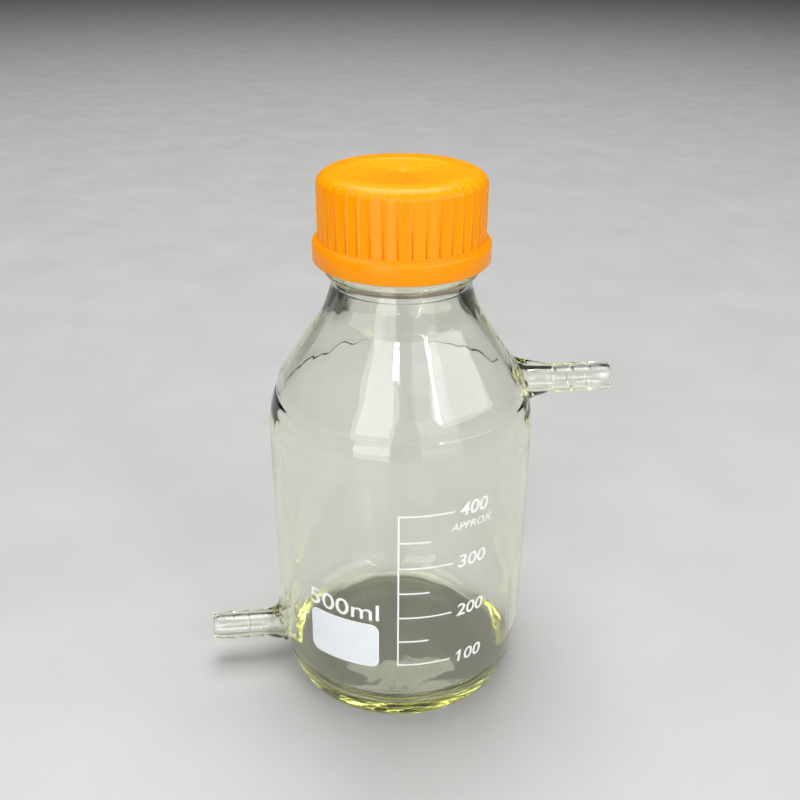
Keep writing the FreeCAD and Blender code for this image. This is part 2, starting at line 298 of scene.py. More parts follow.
class GrowingTree(TreeBuilder):
    """A Geometry Nodes tree with named inputs that ends as plain, dressed geometry."""

    def __init__(self, name: str, values: dict[str, float]) -> None:
        """Start a tree.

        Args:
            name: Name of the tree.
            values: Its inputs with their usual values. Whole numbers become counts.
        """
        super().__init__(bpy.data.node_groups.new(name, "GeometryNodeTree"))
        self.values = values
        kinds = {"Outline": Socket.GEOMETRY}
        for label, value in values.items():
            kinds[label] = Socket.COUNT if isinstance(value, int) else Socket.LENGTH
        kinds["Finish"] = Socket.MATERIAL
        panel = self.tree.interface
        for label, kind in kinds.items():
            panel.new_socket(label, in_out="INPUT", socket_type=kind.value)
        panel.new_socket("Piece", in_out="OUTPUT", socket_type=Socket.GEOMETRY.value)
        self.given = add_node(self.tree, "NodeGroupInput").outputs

    def math(self, operation: str, *values: Any) -> bpy.types.NodeSocket:
        """Add a sum on numbers and give its result."""
        return self.add("ShaderNodeMath", dict(enumerate(values)), {"operation": operation})

    def vector(self, *values: Any) -> bpy.types.NodeSocket:
        """Join three numbers into a vector."""
        return self.add("ShaderNodeCombineXYZ", dict(enumerate(values)))

    def parts(self, vector: bpy.types.NodeSocket) -> Sequence[bpy.types.NodeSocket]:
        """Split a vector into its three numbers."""
        return add_node(self.tree, "ShaderNodeSeparateXYZ", {0: vector}).outputs

    def round_axis(self, radius: Any, angle: Any, height: Any) -> bpy.types.NodeSocket:
        """Give the place at a radius, an angle round Z and a height."""
        across = self.math("MULTIPLY", radius, self.math("COSINE", angle))
        return self.vector(across, self.math("MULTIPLY", radius, self.math("SINE", angle)), height)

    def smooth(self, source: bpy.types.NodeSocket, *ends: Any) -> bpy.types.NodeSocket:
        """Lead a number smoothly from one pair of ends to another pair."""
        inputs = dict(enumerate((source, *ends)))
        return self.add("ShaderNodeMapRange", inputs, {"interpolation_type": "SMOOTHSTEP"})

    def move(
        self, geometry: bpy.types.NodeSocket, place: bpy.types.NodeSocket
    ) -> bpy.types.NodeSocket:
        """Move every point to its place."""
        return self.add("GeometryNodeSetPosition", {"Geometry": geometry, "Position": place})

    def end(self, geometry: bpy.types.NodeSocket) -> None:
        """Finish the tree with smooth, real and dressed geometry."""
        smooth = self.add("GeometryNodeSetShadeSmooth", {"Geometry": geometry})
        real = self.add("GeometryNodeRealizeInstances", {"Geometry": smooth})
        inputs = {"Geometry": real, "Material": self.given["Finish"]}
        dressed = self.add("GeometryNodeSetMaterial", inputs)
        add_node(self.tree, "NodeGroupOutput", {"Piece": dressed})

    def grow(
        self,
        name: str,
        seed: bpy.types.Mesh,
        finish: bpy.types.Material,
        changes: dict[str, float] | None = None,
    ) -> bpy.types.Object:
        """Run the tree on a mesh and keep the result as a plain mesh.

        Args:
            name: Name of the piece.
            seed: Mesh that the tree starts from.
            finish: Material of the piece.
            changes: Values of the inputs that don't have their usual one.

        Returns:
            The piece, without its modifier.
        """
        values = {**self.values, "Finish": finish, **(changes or {})}
        piece = placed(name, seed)
        modifier = piece.modifiers.new("grow", "NODES")
        modifier.node_group = self.tree
        for item in self.tree.interface.items_tree:
            if item.name in values:
                modifier[item.identifier] = values[item.name]
        evaluated = piece.evaluated_get(bpy.context.evaluated_depsgraph_get())
        mesh = bpy.data.meshes.new_from_object(evaluated)
        piece.modifiers.remove(modifier)
        mesh.name = name
        piece.data = mesh
        point_outwards(mesh)
        return piece


def turning_tree() -> GrowingTree:
    """Build the tree that turns an outline about Z and raises grip ribs on it.

    Returns:
        The tree. Its outline's points hold how far a rib lifts each of them.
    """
    plain = {"Columns": 128, "Ribs": 1, "Rib Foot Share": 1.0, "Rib Top Share": 0.0}
    grown = GrowingTree("turned_form", plain)
    given = grown.given
    rows = grown.add("GeometryNodeAttributeDomainSize", {"Geometry": given["Outline"]})
    wide = grown.math("ADD", given["Columns"], 1)
    grid = grown.add("GeometryNodeMeshGrid", {"Vertices X": rows, "Vertices Y": wide})
    index = grown.add("GeometryNodeInputIndex")
    row = grown.math("FLOOR", grown.math("DIVIDE", grown.math("ADD", index, 0.5), wide))
    column = grown.math("SUBTRACT", index, grown.math("MULTIPLY", row, wide))
    turn = grown.math("DIVIDE", column, given["Columns"])
    angle = grown.math("MULTIPLY", turn, 2 * math.pi)
    vectors = {"data_type": "FLOAT_VECTOR"}
    sampled = []
    for value in (
        grown.add("GeometryNodeInputPosition"),
        grown.add("GeometryNodeInputNamedAttribute", {"Name": "lift"}, vectors),
    ):
        inputs = {"Geometry": given["Outline"], "Value": value, "Index": row}
        sampled.append(grown.add("GeometryNodeSampleIndex", inputs, vectors))
    place, lift = sampled
    shifted = grown.math("ADD", grown.math("MULTIPLY", turn, given["Ribs"]), 0.5)
    centred = grown.math("SUBTRACT", grown.math("FRACT", shifted), 0.5)
    aside = grown.math("MULTIPLY", grown.math("ABSOLUTE", centred), 2.0)
    rib = grown.smooth(aside, given["Rib Foot Share"], given["Rib Top Share"], 0.0, 1.0)
    inputs = {0: lift, 1: rib, 2: place}
    parts = grown.parts(grown.add("ShaderNodeVectorMath", inputs, {"operation": "MULTIPLY_ADD"}))
    shaped = grown.move(grid, grown.round_axis(parts[0], angle, parts[2]))
    grown.end(grown.add("GeometryNodeMergeByDistance", {"Geometry": shaped, "Distance": SEAM}))
    return grown


def outline_seed(line: np.ndarray, lifts: np.ndarray | None = None) -> bpy.types.Mesh:
    """Make the mesh of points that the turning tree reads.

    Args:
        line: Outline as rows of (radius, height).
        lifts: How far a rib lifts each point, as rows of (outwards, up).

    Returns:
        A mesh with one point for each row.
    """
    mesh = bpy.data.meshes.new("outline")
    zeros = np.zeros(len(line))
    mesh.from_pydata(np.stack([line[:, 0], zeros, line[:, 1]], axis=1).tolist(), [], [])
    if lifts is None:
        lifts = np.zeros_like(line)
    lift = mesh.attributes.new("lift", "FLOAT_VECTOR", "POINT")
    values = np.stack([lifts[:, 0], zeros, lifts[:, 1]], axis=1).astype(np.float32)
    lift.data.foreach_set("vector", values.ravel())
    return mesh


# Finishes


@dataclass(frozen=True)
class Grain:
    """A noise pattern: width of its spots, finer layers, stretch, and values it runs between."""

    size: float
    detail: float = 2.0
    stretch: tuple[float, float, float] = (1, 1, 1)
    low: float = 0.0
    high: float = 1.0


@dataclass(frozen=True)
class Relief(Grain):
    """A grain that is a height of a real depth, which the light follows with a strength."""

    depth: float = 0.0
    strength: float = 1.0


class Surface(TreeBuilder):
    """A material under construction, with one Principled shader and object coordinates."""

    def __init__(self, name: str, constants: Inputs) -> None:
        """Start a material.

        Args:
            name: Name of the finish.
            constants: Values of the shader's own sockets.
        """
        self.material = bpy.data.materials.new(name)
        self.material.use_nodes = True
        super().__init__(self.material.node_tree)
        self.shader = add_node(self.tree, "ShaderNodeBsdfPrincipled", constants)
        surface = {"Surface": self.shader.outputs[0]}
        self.output = add_node(self.tree, "ShaderNodeOutputMaterial", surface)
        self.place = add_node(self.tree, "ShaderNodeTexCoord").outputs["Object"]

    def noise(self, grain: Grain) -> bpy.types.NodeSocket:
        """Add the noise of a grain, as a number from 0 to 1."""
        scale = tuple(1 / s for s in grain.stretch)
        place = self.add("ShaderNodeMapping", {"Vector": self.place, "Scale": scale})
        spots = {"Vector": place, "Scale": 1 / grain.size, "Detail": grain.detail}
        return self.add("ShaderNodeTexNoise", spots)

    def spread(
        self, source: bpy.types.NodeSocket, low: float, high: float
    ) -> bpy.types.NodeSocket:
        """Spread the middle of a noise between two values."""
        return self.add("ShaderNodeMapRange", {0: source, 1: 0.3, 2: 0.7, 3: low, 4: high})

    def pattern(self, grain: Grain) -> bpy.types.NodeSocket:
        """Add a grain that runs between its two values."""
        return self.spread(self.noise(grain), grain.low, grain.high)

    def feed(self, socket: str, source: bpy.types.NodeSocket) -> None:
        """Drive one of the shader's inputs."""
        self.tree.links.new(source, self.shader.inputs[socket])

    def raise_grain(self, relief: Relief) -> None:
        """Drive the shader's normal by a relief."""
        sizes = {"Distance": relief.depth, "Strength": relief.strength}
        self.feed("Normal", self.add("ShaderNodeBump", {"Height": self.noise(relief), **sizes}))

    def colour(self, source: bpy.types.NodeSocket, first: str, second: str) -> None:
        """Colour the surface with two sRGB colours, mixed by a pattern."""
        inputs = {0: source, 6: srgb(first), 7: srgb(second)}
        mixed = add_node(self.tree, "ShaderNodeMix", inputs, {"data_type": "RGBA"})
        self.feed("Base Color", mixed.outputs[2])


@dataclass(frozen=True)
class BorosilicateGlass:
    """Clear borosilicate glass, blown in a mould and fire-polished.

    The eye sees it only by what it bends and mirrors, by a faint unevenness of its skin, and
    by a yellow-green tint where it looks along a thick stretch, as in the base.
    """

    ior: float = 1.473
    tint: str = "#EEEF98"
    tint_density: float = 29.0
    gloss: Grain = Grain(6 * MM, 3.0, low=0.0, high=0.012)
    waves: Relief = Relief(5.5 * MM, 1.5, (1, 1, 4), depth=0.08 * MM, strength=0.8)

    def build(self) -> bpy.types.Material:
        """Make the glass material."""
        clear = {"Base Color": srgb("#FFFFFF"), "Transmission Weight": 1.0, "IOR": self.ior}
        glass = Surface("borosilicate_glass", clear)
        glass.feed("Roughness", glass.pattern(self.gloss))
        glass.raise_grain(self.waves)
        tint = {"Color": srgb(self.tint), "Density": self.tint_density}
        volume = glass.add("ShaderNodeVolumeAbsorption", tint)
        glass.tree.links.new(volume, glass.output.inputs["Volume"])
        return glass.material


@dataclass(frozen=True)
class FiredEnamel:
    """White ceramic enamel, screen printed on the glass and fired on.

    It is opaque and slightly chalky, with the fine pin-holes and grain of the printing screen.
    """

    name: str = "fired_white_enamel"
    white: str = "#FAFBFA"
    worn_white: str = "#F1F3F2"
    patches: Grain = Grain(4 * MM, 3.0)
    gloss: Grain = Grain(1.5 * MM, low=0.32, high=0.5)
    screen: Relief = Relief(0.35 * MM, depth=0.02 * MM, strength=0.35)

    def build(self) -> bpy.types.Material:
        """Make the enamel material."""
        enamel = Surface(self.name, {"IOR": 1.5})
        enamel.colour(enamel.pattern(self.patches), self.white, self.worn_white)
        enamel.feed("Roughness", enamel.pattern(self.gloss))
        enamel.raise_grain(self.screen)
        return enamel.material


@dataclass(frozen=True)
class MouldedPolypropylene:
    """Orange polypropylene, injection moulded in a fine-polished mould.

    It has a soft gloss that runs along the ribs, lets a little light in below its skin, and
    shows the faint flow marks and grain of the mould.
    """

    orange: str = "#FF9E00"
    deep_orange: str = "#FF9600"
    flow: Grain = Grain(14 * MM, 2.0, (1, 1, 2))
    gloss: Grain = Grain(3 * MM, 3.0, low=0.26, high=0.38)
    mould: Relief = Relief(0.6 * MM, 3.0, depth=0.008 * MM, strength=0.2)

    def build(self) -> bpy.types.Material:
        """Make the cap's material."""
        constants = {
            "IOR": 1.49,
            "Specular IOR Level": 0.22,
            "Subsurface Weight": 0.3,
            "Subsurface Radius": (1.0, 0.35, 0.1),
            "Subsurface Scale": 2.2 * MM,
        }
        plastic = Surface("moulded_orange_polypropylene", constants)
        plastic.colour(plastic.pattern(self.flow), self.orange, self.deep_orange)
        plastic.feed("Roughness", plastic.pattern(self.gloss))
        plastic.raise_grain(self.mould)
        return plastic.material


@dataclass(frozen=True)
class SiliconeRubber:
    """Pale silicone rubber, pressed in sheet: matt, slightly milky, with a talc-like bloom."""

    milky: str = "#DAD9D2"
    bloom: str = "#E9E8E3"
    roughness: tuple[float, float] = (0.55, 0.75)
    dust: Grain = Grain(2.5 * MM, 4.0)
    press: Relief = Relief(0.4 * MM, depth=0.02 * MM, strength=0.4)

    def build(self) -> bpy.types.Material:
        """Make the seal's material."""
        constants = {
            "IOR": 1.41,
            "Subsurface Weight": 0.3,
            "Subsurface Radius": (1.0, 1.0, 0.9),
            "Subsurface Scale": 1.0 * MM,
        }
        rubber = Surface("milky_silicone_rubber", constants)
        dust = rubber.pattern(self.dust)
        rubber.colour(dust, self.milky, self.bloom)
        rubber.feed("Roughness", rubber.spread(dust, *self.roughness))
        rubber.raise_grain(self.press)
        return rubber.material


@dataclass(frozen=True)
class StudioFloor:
    """Pale matt laminate of a photographer's table, with a broad, soft mirror image in it."""

    pale: str = "#B1B2B0"
    paler: str = "#B7B8B6"
    cloud: Grain = Grain(60 * MM, 3.0)
    gloss: Grain = Grain(25 * MM, 2.0, low=0.34, high=0.42)

    def build(self) -> bpy.types.Material:
        """Make the floor's material."""
        floor = Surface("pale_studio_floor", {"IOR": 1.45})
        floor.colour(floor.pattern(self.cloud), self.pale, self.paler)
        floor.feed("Roughness", floor.pattern(self.gloss))
        return floor.material


# Glass


class Side(Enum):
    """Side of the bottle that a barb points to, as the sign of X."""

    RIGHT = 1
    LEFT = -1


@dataclass(frozen=True)
class HoseBarb:
    """A serrated hose connection that was flame-fused to the bottle.

    Its window is the patch of the bottle's grid that its root takes the place of, given as the
    heights of its foot and top on the outside and the inside of the glass.
    """

    side: Side
    height: float
    window_outside: tuple[float, float]
    window_inside: tuple[float, float]
    tip_reach: float
    pitch: float = 6.0 * MM
    tip_length: float = 7.0 * MM
    root_spread: float = 7.4 * MM
    upward_spread: float = 1.0 * MM
    wrinkle: float = 0.18 * MM
    wrinkle_turns: float = 2.2
    wrinkle_rings: float = 2.5
    wrinkle_outwards: float = 1.5
    root_roundness: float = 0.55
    mouth_spread: float = 5.4 * MM
    root_end: float = 45.8 * MM
    root_radius: float = 5.7 * MM
    neck_start: float = 47.4 * MM
    crest_radius: float = 4.95 * MM
    valley_radius: float = 4.4 * MM
    tip_radius: float = 4.65 * MM
    bore_radius: float = 3.0 * MM
    bore_start: float = 44.2 * MM
    step_length: float = 0.25 * MM
    taper_length: float = 3.6 * MM
    edge_rounding: float = 0.4 * MM
    steps: int = 3
    spread_rings: int = 9
    root_rings: int = 13
    mouth_rings: int = 9

    def first_step(self) -> float:
        """Place of the first step's crest along the barb."""
        return self.tip_reach - self.tip_length - (self.steps - 1) * self.pitch

    def slope(self) -> float:
        """How fast the neck of the barb narrows towards its first step."""
        run = self.first_step() - self.step_length - self.root_end
        return (self.root_radius - self.valley_radius) / run

    def outline(self) -> np.ndarray:
        """Draw the barb's outline.

        Returns:
            Points from the neck over the steps and the tip, and back down the bore.
        """
        start = self.root_radius - self.slope() * (self.neck_start - self.root_end)
        corners = [Corner(start, self.neck_start)]
        first = self.first_step()
        for i in range(self.steps):
            step = first + i * self.pitch
            corners.append(Corner(self.valley_radius, step - self.step_length, self.edge_rounding))
            corners.append(Corner(self.crest_radius, step, self.edge_rounding))
        tip = self.tip_reach - self.tip_length + self.taper_length
        corners += [
            Corner(self.tip_radius, tip, self.edge_rounding),
            Corner(self.tip_radius, self.tip_reach, 0.7 * MM),
            Corner(self.bore_radius, self.tip_reach, 0.5 * MM),
            Corner(self.bore_radius, self.bore_start),
        ]
        return rounded_line(corners, math.radians(20))

    def spread(self, angles: np.ndarray) -> np.ndarray:
        """How far the root spreads over the bottle in each direction round the barb."""
        upward = np.clip(np.sin(angles), 0.0, 1.0)
        return self.root_spread + self.upward_spread * upward**3

    def wrinkles(self, ring: int, angles: np.ndarray) -> np.ndarray:
        """Unevenness of the weld at one ring of the root.

        Args:
            ring: Number of the ring from the window's edge.
            angles: Direction of each of its points round the barb.

        Returns:
            How far each point stands out.
        """
        turns = self.wrinkle_turns
        along = ring / self.wrinkle_rings + self.height
        rings = self.spread_rings + self.root_rings
        swell = self.wrinkle * math.sin(math.pi * min(ring / rings, 1.0)) ** 2
        values = [
            noise.noise(Vector((turns * math.cos(a), turns * math.sin(a), along)))
            for a in angles
        ]
        return swell * np.array(values)


@dataclass(frozen=True)
class Waves:
    """Soft waves in a skin of blown glass.

    They fade in over the first pair of heights and out over the second pair. The shift sets
    one skin apart from the other.
    """

    depth: float
    fade_in: tuple[float, float]
    fade_out: tuple[float, float]
    shift: float = 0.0
    length: float = 26 * MM
    turns: float = 2.6
    fine_turns: float = 6.0
    fine_share: float = 0.4

    def at(self, angles: np.ndarray, heights: np.ndarray) -> np.ndarray:
        """How high the waves are.

        Args:
            angles: Angle of each point round the bottle.
            heights: Height of each point.

        Returns:
            The waves' height at each point.
        """
        up = 1 / self.length
        values = []
        for a, z in zip(angles.ravel(), heights.ravel()):
            x, y = math.cos(a), math.sin(a)
            broad = Vector((self.turns * x, self.turns * y, up * z + self.shift))
            fine = Vector((self.fine_turns * x, self.fine_turns * y, 2 * up * z - self.shift))
            values.append(noise.noise(broad) + self.fine_share * noise.noise(fine))
        faded = smooth_step(heights, *self.fade_in) * smooth_step(heights, *self.fade_out)
        return self.depth * faded * np.array(values).reshape(angles.shape)


@dataclass
class GlassBottle:
    """The blown bottle: body, crease, shoulder, bead, threaded neck and both hose barbs."""

    rim_height: float
    barb_reach: float
    body_radius: float = 43.4 * MM
    body_wall: float = 2.5 * MM
    heel_height: float = 16.0 * MM
    heel_rounding: float = 35.0 * MM
    foot_radius: float = 38.5 * MM
    foot_rounding: float = 1.2 * MM
    foot_width: float = 3.0 * MM
    push_up: float = 3.0 * MM
    floor_thickness: float = 4.0 * MM
    floor_rise: float = 1.6 * MM
    inner_heel_radius: float = 7.5 * MM
    body_top: float = 99.7 * MM
    body_top_sweep: float = 20.0 * MM
    inner_body_top_sweep: float = 24.0 * MM
    crease_height: float = 107.8 * MM
    crease_depth: float = 0.35 * MM
    crease_width: float = 0.8 * MM
    crease_fade: float = 1.35
    shoulder_foot: tuple[float, float] = (39.8 * MM, 111.75 * MM)
    shoulder_rounding: float = 5.0 * MM
    inner_shoulder_rounding: float = 10.0 * MM
    shoulder_wall: float = 2.2 * MM
    collar_radius: float = 21.5 * MM
    collar_foot: float = 139.4 * MM
    collar_sweep: float = 20.0 * MM
    parting_height: float = 144.0 * MM
    parting_ridge: float = 0.1 * MM
    parting_width: float = 0.25 * MM
    bead_foot: float = 146.1 * MM
    bead_height: float = 4.0 * MM
    bead_projection: float = 2.7 * MM
    neck_radius: float = 20.9 * MM
    bore_radius: float = 16.5 * MM
    bore_sweep: float = 14.0 * MM
    thread_pitch: float = 4.0 * MM
    thread_turns: float = 2.0
    thread_fade: float = 0.12
    thread_start: float = 160.4 * MM
    thread_height: float = 1.5 * MM
    thread_half_width: float = 1.35 * MM
    shorter_barb: float = 2.25 * MM
    outer_waves: Waves = Waves(0.03 * MM, (20 * MM, 40 * MM), (144 * MM, 136 * MM), 7.3)
    inner_waves: Waves = Waves(0.13 * MM, (6 * MM, 22 * MM), (168 * MM, 140 * MM))
    wavier_above: tuple[float, float] = (98 * MM, 116 * MM)
    dome_steps: int = 16
    columns: int = 240
    window_columns: int = 14
    barbs: list[HoseBarb] = field(init=False)

    def __post_init__(self) -> None:
        """Set out both barbs."""
        self.barbs = [
            HoseBarb(
                Side.RIGHT,
                107.5 * MM,
                (95.5 * MM, 119.5 * MM),
                (97.5 * MM, 117.5 * MM),
                self.barb_reach,
            ),
            HoseBarb(
                Side.LEFT,
                12.9 * MM,
                (1.0 * MM, 28.4 * MM),
                (6.2 * MM, 23.4 * MM),
                self.barb_reach - self.shorter_barb,
                pitch=5.3 * MM,
                tip_length=7.15 * MM,
                upward_spread=4.8 * MM,
                wrinkle=0.4 * MM,
            ),
        ]

    def outside(self) -> tuple[np.ndarray, int]:
        """Outline of the outside, from the middle of the base to the middle of the rim.

        Returns:
            The outline, and the point from which it only rises.
        """
        foot_inner = self.foot_radius - self.foot_rounding - self.foot_width
        bead = self.collar_radius + self.bead_projection
        bead_top = self.bead_foot + self.bead_height
        bead_rounding = 0.45 * self.bead_height
        rim_middle = (self.neck_radius + self.bore_radius) / 2
        dome = dome_corners(foot_inner, 0.0, self.push_up, self.dome_steps)
        corners = dome + [
            Corner(foot_inner, 0.0, 6.0 * MM),
            Corner(self.foot_radius, 0.0, self.foot_rounding),
            Corner(self.body_radius, self.heel_height, self.heel_rounding),
            Corner(self.body_radius, self.body_top, self.body_top_sweep),
            Corner(*self.shoulder_foot, self.shoulder_rounding),
            Corner(self.collar_radius, self.collar_foot, self.collar_sweep),
            Corner(self.collar_radius, self.bead_foot, 0.6 * MM),
            Corner(bead, self.bead_foot, bead_rounding),
            Corner(bead, bead_top, bead_rounding),
            Corner(self.neck_radius, bead_top, 1.0 * MM),
            Corner(self.neck_radius, self.rim_height, 1.5 * MM),
            Corner(rim_middle, self.rim_height),
        ]
        line = rounded_line(corners)
        return line, int(np.flatnonzero(line[:, 1] < 1e-9)[-1])

    def inside(self) -> np.ndarray:
        """Outline of the inside, from the middle of the rim down to the middle of the floor."""
        wall_top = np.array((self.body_radius, self.body_top))
        cone_foot = np.array(self.shoulder_foot)
        collar_foot = np.array((self.collar_radius, self.collar_foot))
        slant = (collar_foot - cone_foot) / np.linalg.norm(collar_foot - cone_foot)
        lean = (cone_foot - wall_top) / np.linalg.norm(cone_foot - wall_top)
        slant_normal = np.array((slant[1], -slant[0]))
        lean_normal = np.array((lean[1], -lean[0]))
        both = (slant_normal + lean_normal) / (1 + slant_normal @ lean_normal)
        inner_foot = cone_foot - both * self.shoulder_wall
        bore_foot = inner_foot + slant * ((inner_foot[0] - self.bore_radius) / -slant[0])
        cavity = self.body_radius - self.body_wall
        floor_edge = self.push_up + self.floor_thickness - self.floor_rise
        dome_foot = cavity - self.inner_heel_radius - 0.8 * MM
        dome = dome_corners(dome_foot, floor_edge, self.floor_rise, self.dome_steps)
        rim_middle = (self.neck_radius + self.bore_radius) / 2
        corners = [
            Corner(rim_middle, self.rim_height),
            Corner(self.bore_radius, self.rim_height, 1.0 * MM),
            Corner(bore_foot[0], bore_foot[1], self.bore_sweep),
            Corner(inner_foot[0], inner_foot[1], self.inner_shoulder_rounding),
            Corner(cavity, self.body_top, self.inner_body_top_sweep),
            Corner(cavity, floor_edge, self.inner_heel_radius),
            Corner(dome_foot, floor_edge, 4.0 * MM),
        ]
        return rounded_line(corners + dome[::-1])

    def outer_offset(self, angles: np.ndarray, heights: np.ndarray) -> np.ndarray:
        """How far the outside stands off its turned outline: crease, thread and waves.

        Args:
            angles: Angle of each point round the bottle.
            heights: Height of each point.

        Returns:
            The offset at each point.
        """
        beside_barb = np.abs(np.angle(np.exp(1j * angles)))
        edge = 2 * math.pi * self.window_columns / self.columns
        open_share = smooth_step(beside_barb, edge, edge * self.crease_fade)
        off_crease = (heights - self.crease_height) / self.crease_width
        off_parting = (heights - self.parting_height) / self.parting_width
        crease = -self.crease_depth * np.exp(-(off_crease**2)) * open_share
        parting = self.parting_ridge * np.exp(-(off_parting**2))
        waves = self.outer_waves.at(angles, heights)
        return crease + parting + self.thread(angles, heights) + waves

    def thread(self, angles: np.ndarray, heights: np.ndarray) -> np.ndarray:
        """How high the neck's rounded right-hand thread is.

        Args:
            angles: Angle of each point round the bottle.
            heights: Height of each point.

        Returns:
            The thread's height at each point.
        """
        raised = np.zeros_like(heights)
        last = self.thread_turns
        for turn in range(-1, int(last) + 2):
            along = angles / (2 * math.pi) + turn
            centre = self.thread_start + self.thread_pitch * along
            off = np.clip(np.abs(heights - centre) / self.thread_half_width, 0.0, 1.0)
            ends = smooth_step(along, 0.0, self.thread_fade)
            ends = ends * smooth_step(along, last, last - self.thread_fade)
            raised = np.maximum(raised, 0.5 * (1 + np.cos(math.pi * off)) * ends)
        return raised * self.thread_height

    def inner_offset(self, angles: np.ndarray, heights: np.ndarray) -> np.ndarray:
        """How far the inside stands off its turned outline, twice as far in the shoulder."""
        shoulder = smooth_step(heights, *self.wavier_above)
        return (1 + shoulder) * self.inner_waves.at(angles, heights)

    def build_mesh(self) -> bpy.types.Mesh:
        """Build the closed skin of the glass.

        Returns:
            A mesh with the outside, the inside and both barbs joined in one surface.
        """
        upper, lower = self.barbs
        crease_foot = self.crease_height - 1.0 * MM
        crease_top = self.crease_height + 1.0 * MM
        bead_low = self.bead_foot - 0.5 * MM
        bead_high = self.bead_foot + self.bead_height + 0.6 * MM
        line, rises = self.outside()
        outer_runs = [
            Run(lower.window_outside[0], 26),
            Run(lower.window_outside[1], 24),
            Run(upper.window_outside[0], 18),
            Run(crease_foot, 10),
            Run(crease_top, 10),
            Run(upper.window_outside[1], 8),
            Run(self.collar_foot, 14),
            Run(self.parting_height - 0.6 * MM, 5),
            Run(self.parting_height + 0.6 * MM, 10),
            Run(bead_low, 3),
            Run(bead_high, 24),
            Run(self.rim_height - 1.6 * MM, 46),
            Run(self.rim_height, 12),
        ]
        outer_rows = cut_into_runs(line, rises, outer_runs)
        inner_line = self.inside()
        dome = len(inner_line) - self.dome_steps
        inner_runs = [
            Run(self.rim_height - 1.2 * MM, 8),
            Run(142 * MM, 12),
            Run(upper.window_inside[1], 14),
            Run(upper.window_inside[0], 28),
            Run(lower.window_inside[1], 26),
            Run(lower.window_inside[0], 24),
            Run(0.0, 6),
        ]
        inner_rows = cut_into_runs(inner_line[:dome], 0, inner_runs)
        inner_rows = np.concatenate([inner_rows, inner_line[dome:]])
        return GlassSkin(self, line, inner_line, outer_rows, inner_rows).mesh()

    def build(self, glass: bpy.types.Material) -> bpy.types.Object:
        """Make the bottle and put it in place of its solid.

        Args:
            glass: Finish of the glass.

        Returns:
            The bottle.
        """
        mesh = self.build_mesh()
        mesh.materials.append(glass)
        bottle = placed("glass_bottle", mesh)
        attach(bottle, "glass_body")
        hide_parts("bottle")
        return bottle


def ring_of(radius: Any, angles: np.ndarray, along: Any) -> np.ndarray:
    """Rows of (distance from a barb's axis, angle, place along it) for a ring of points."""
    return np.stack(np.broadcast_arrays(radius, angles, along), axis=1)


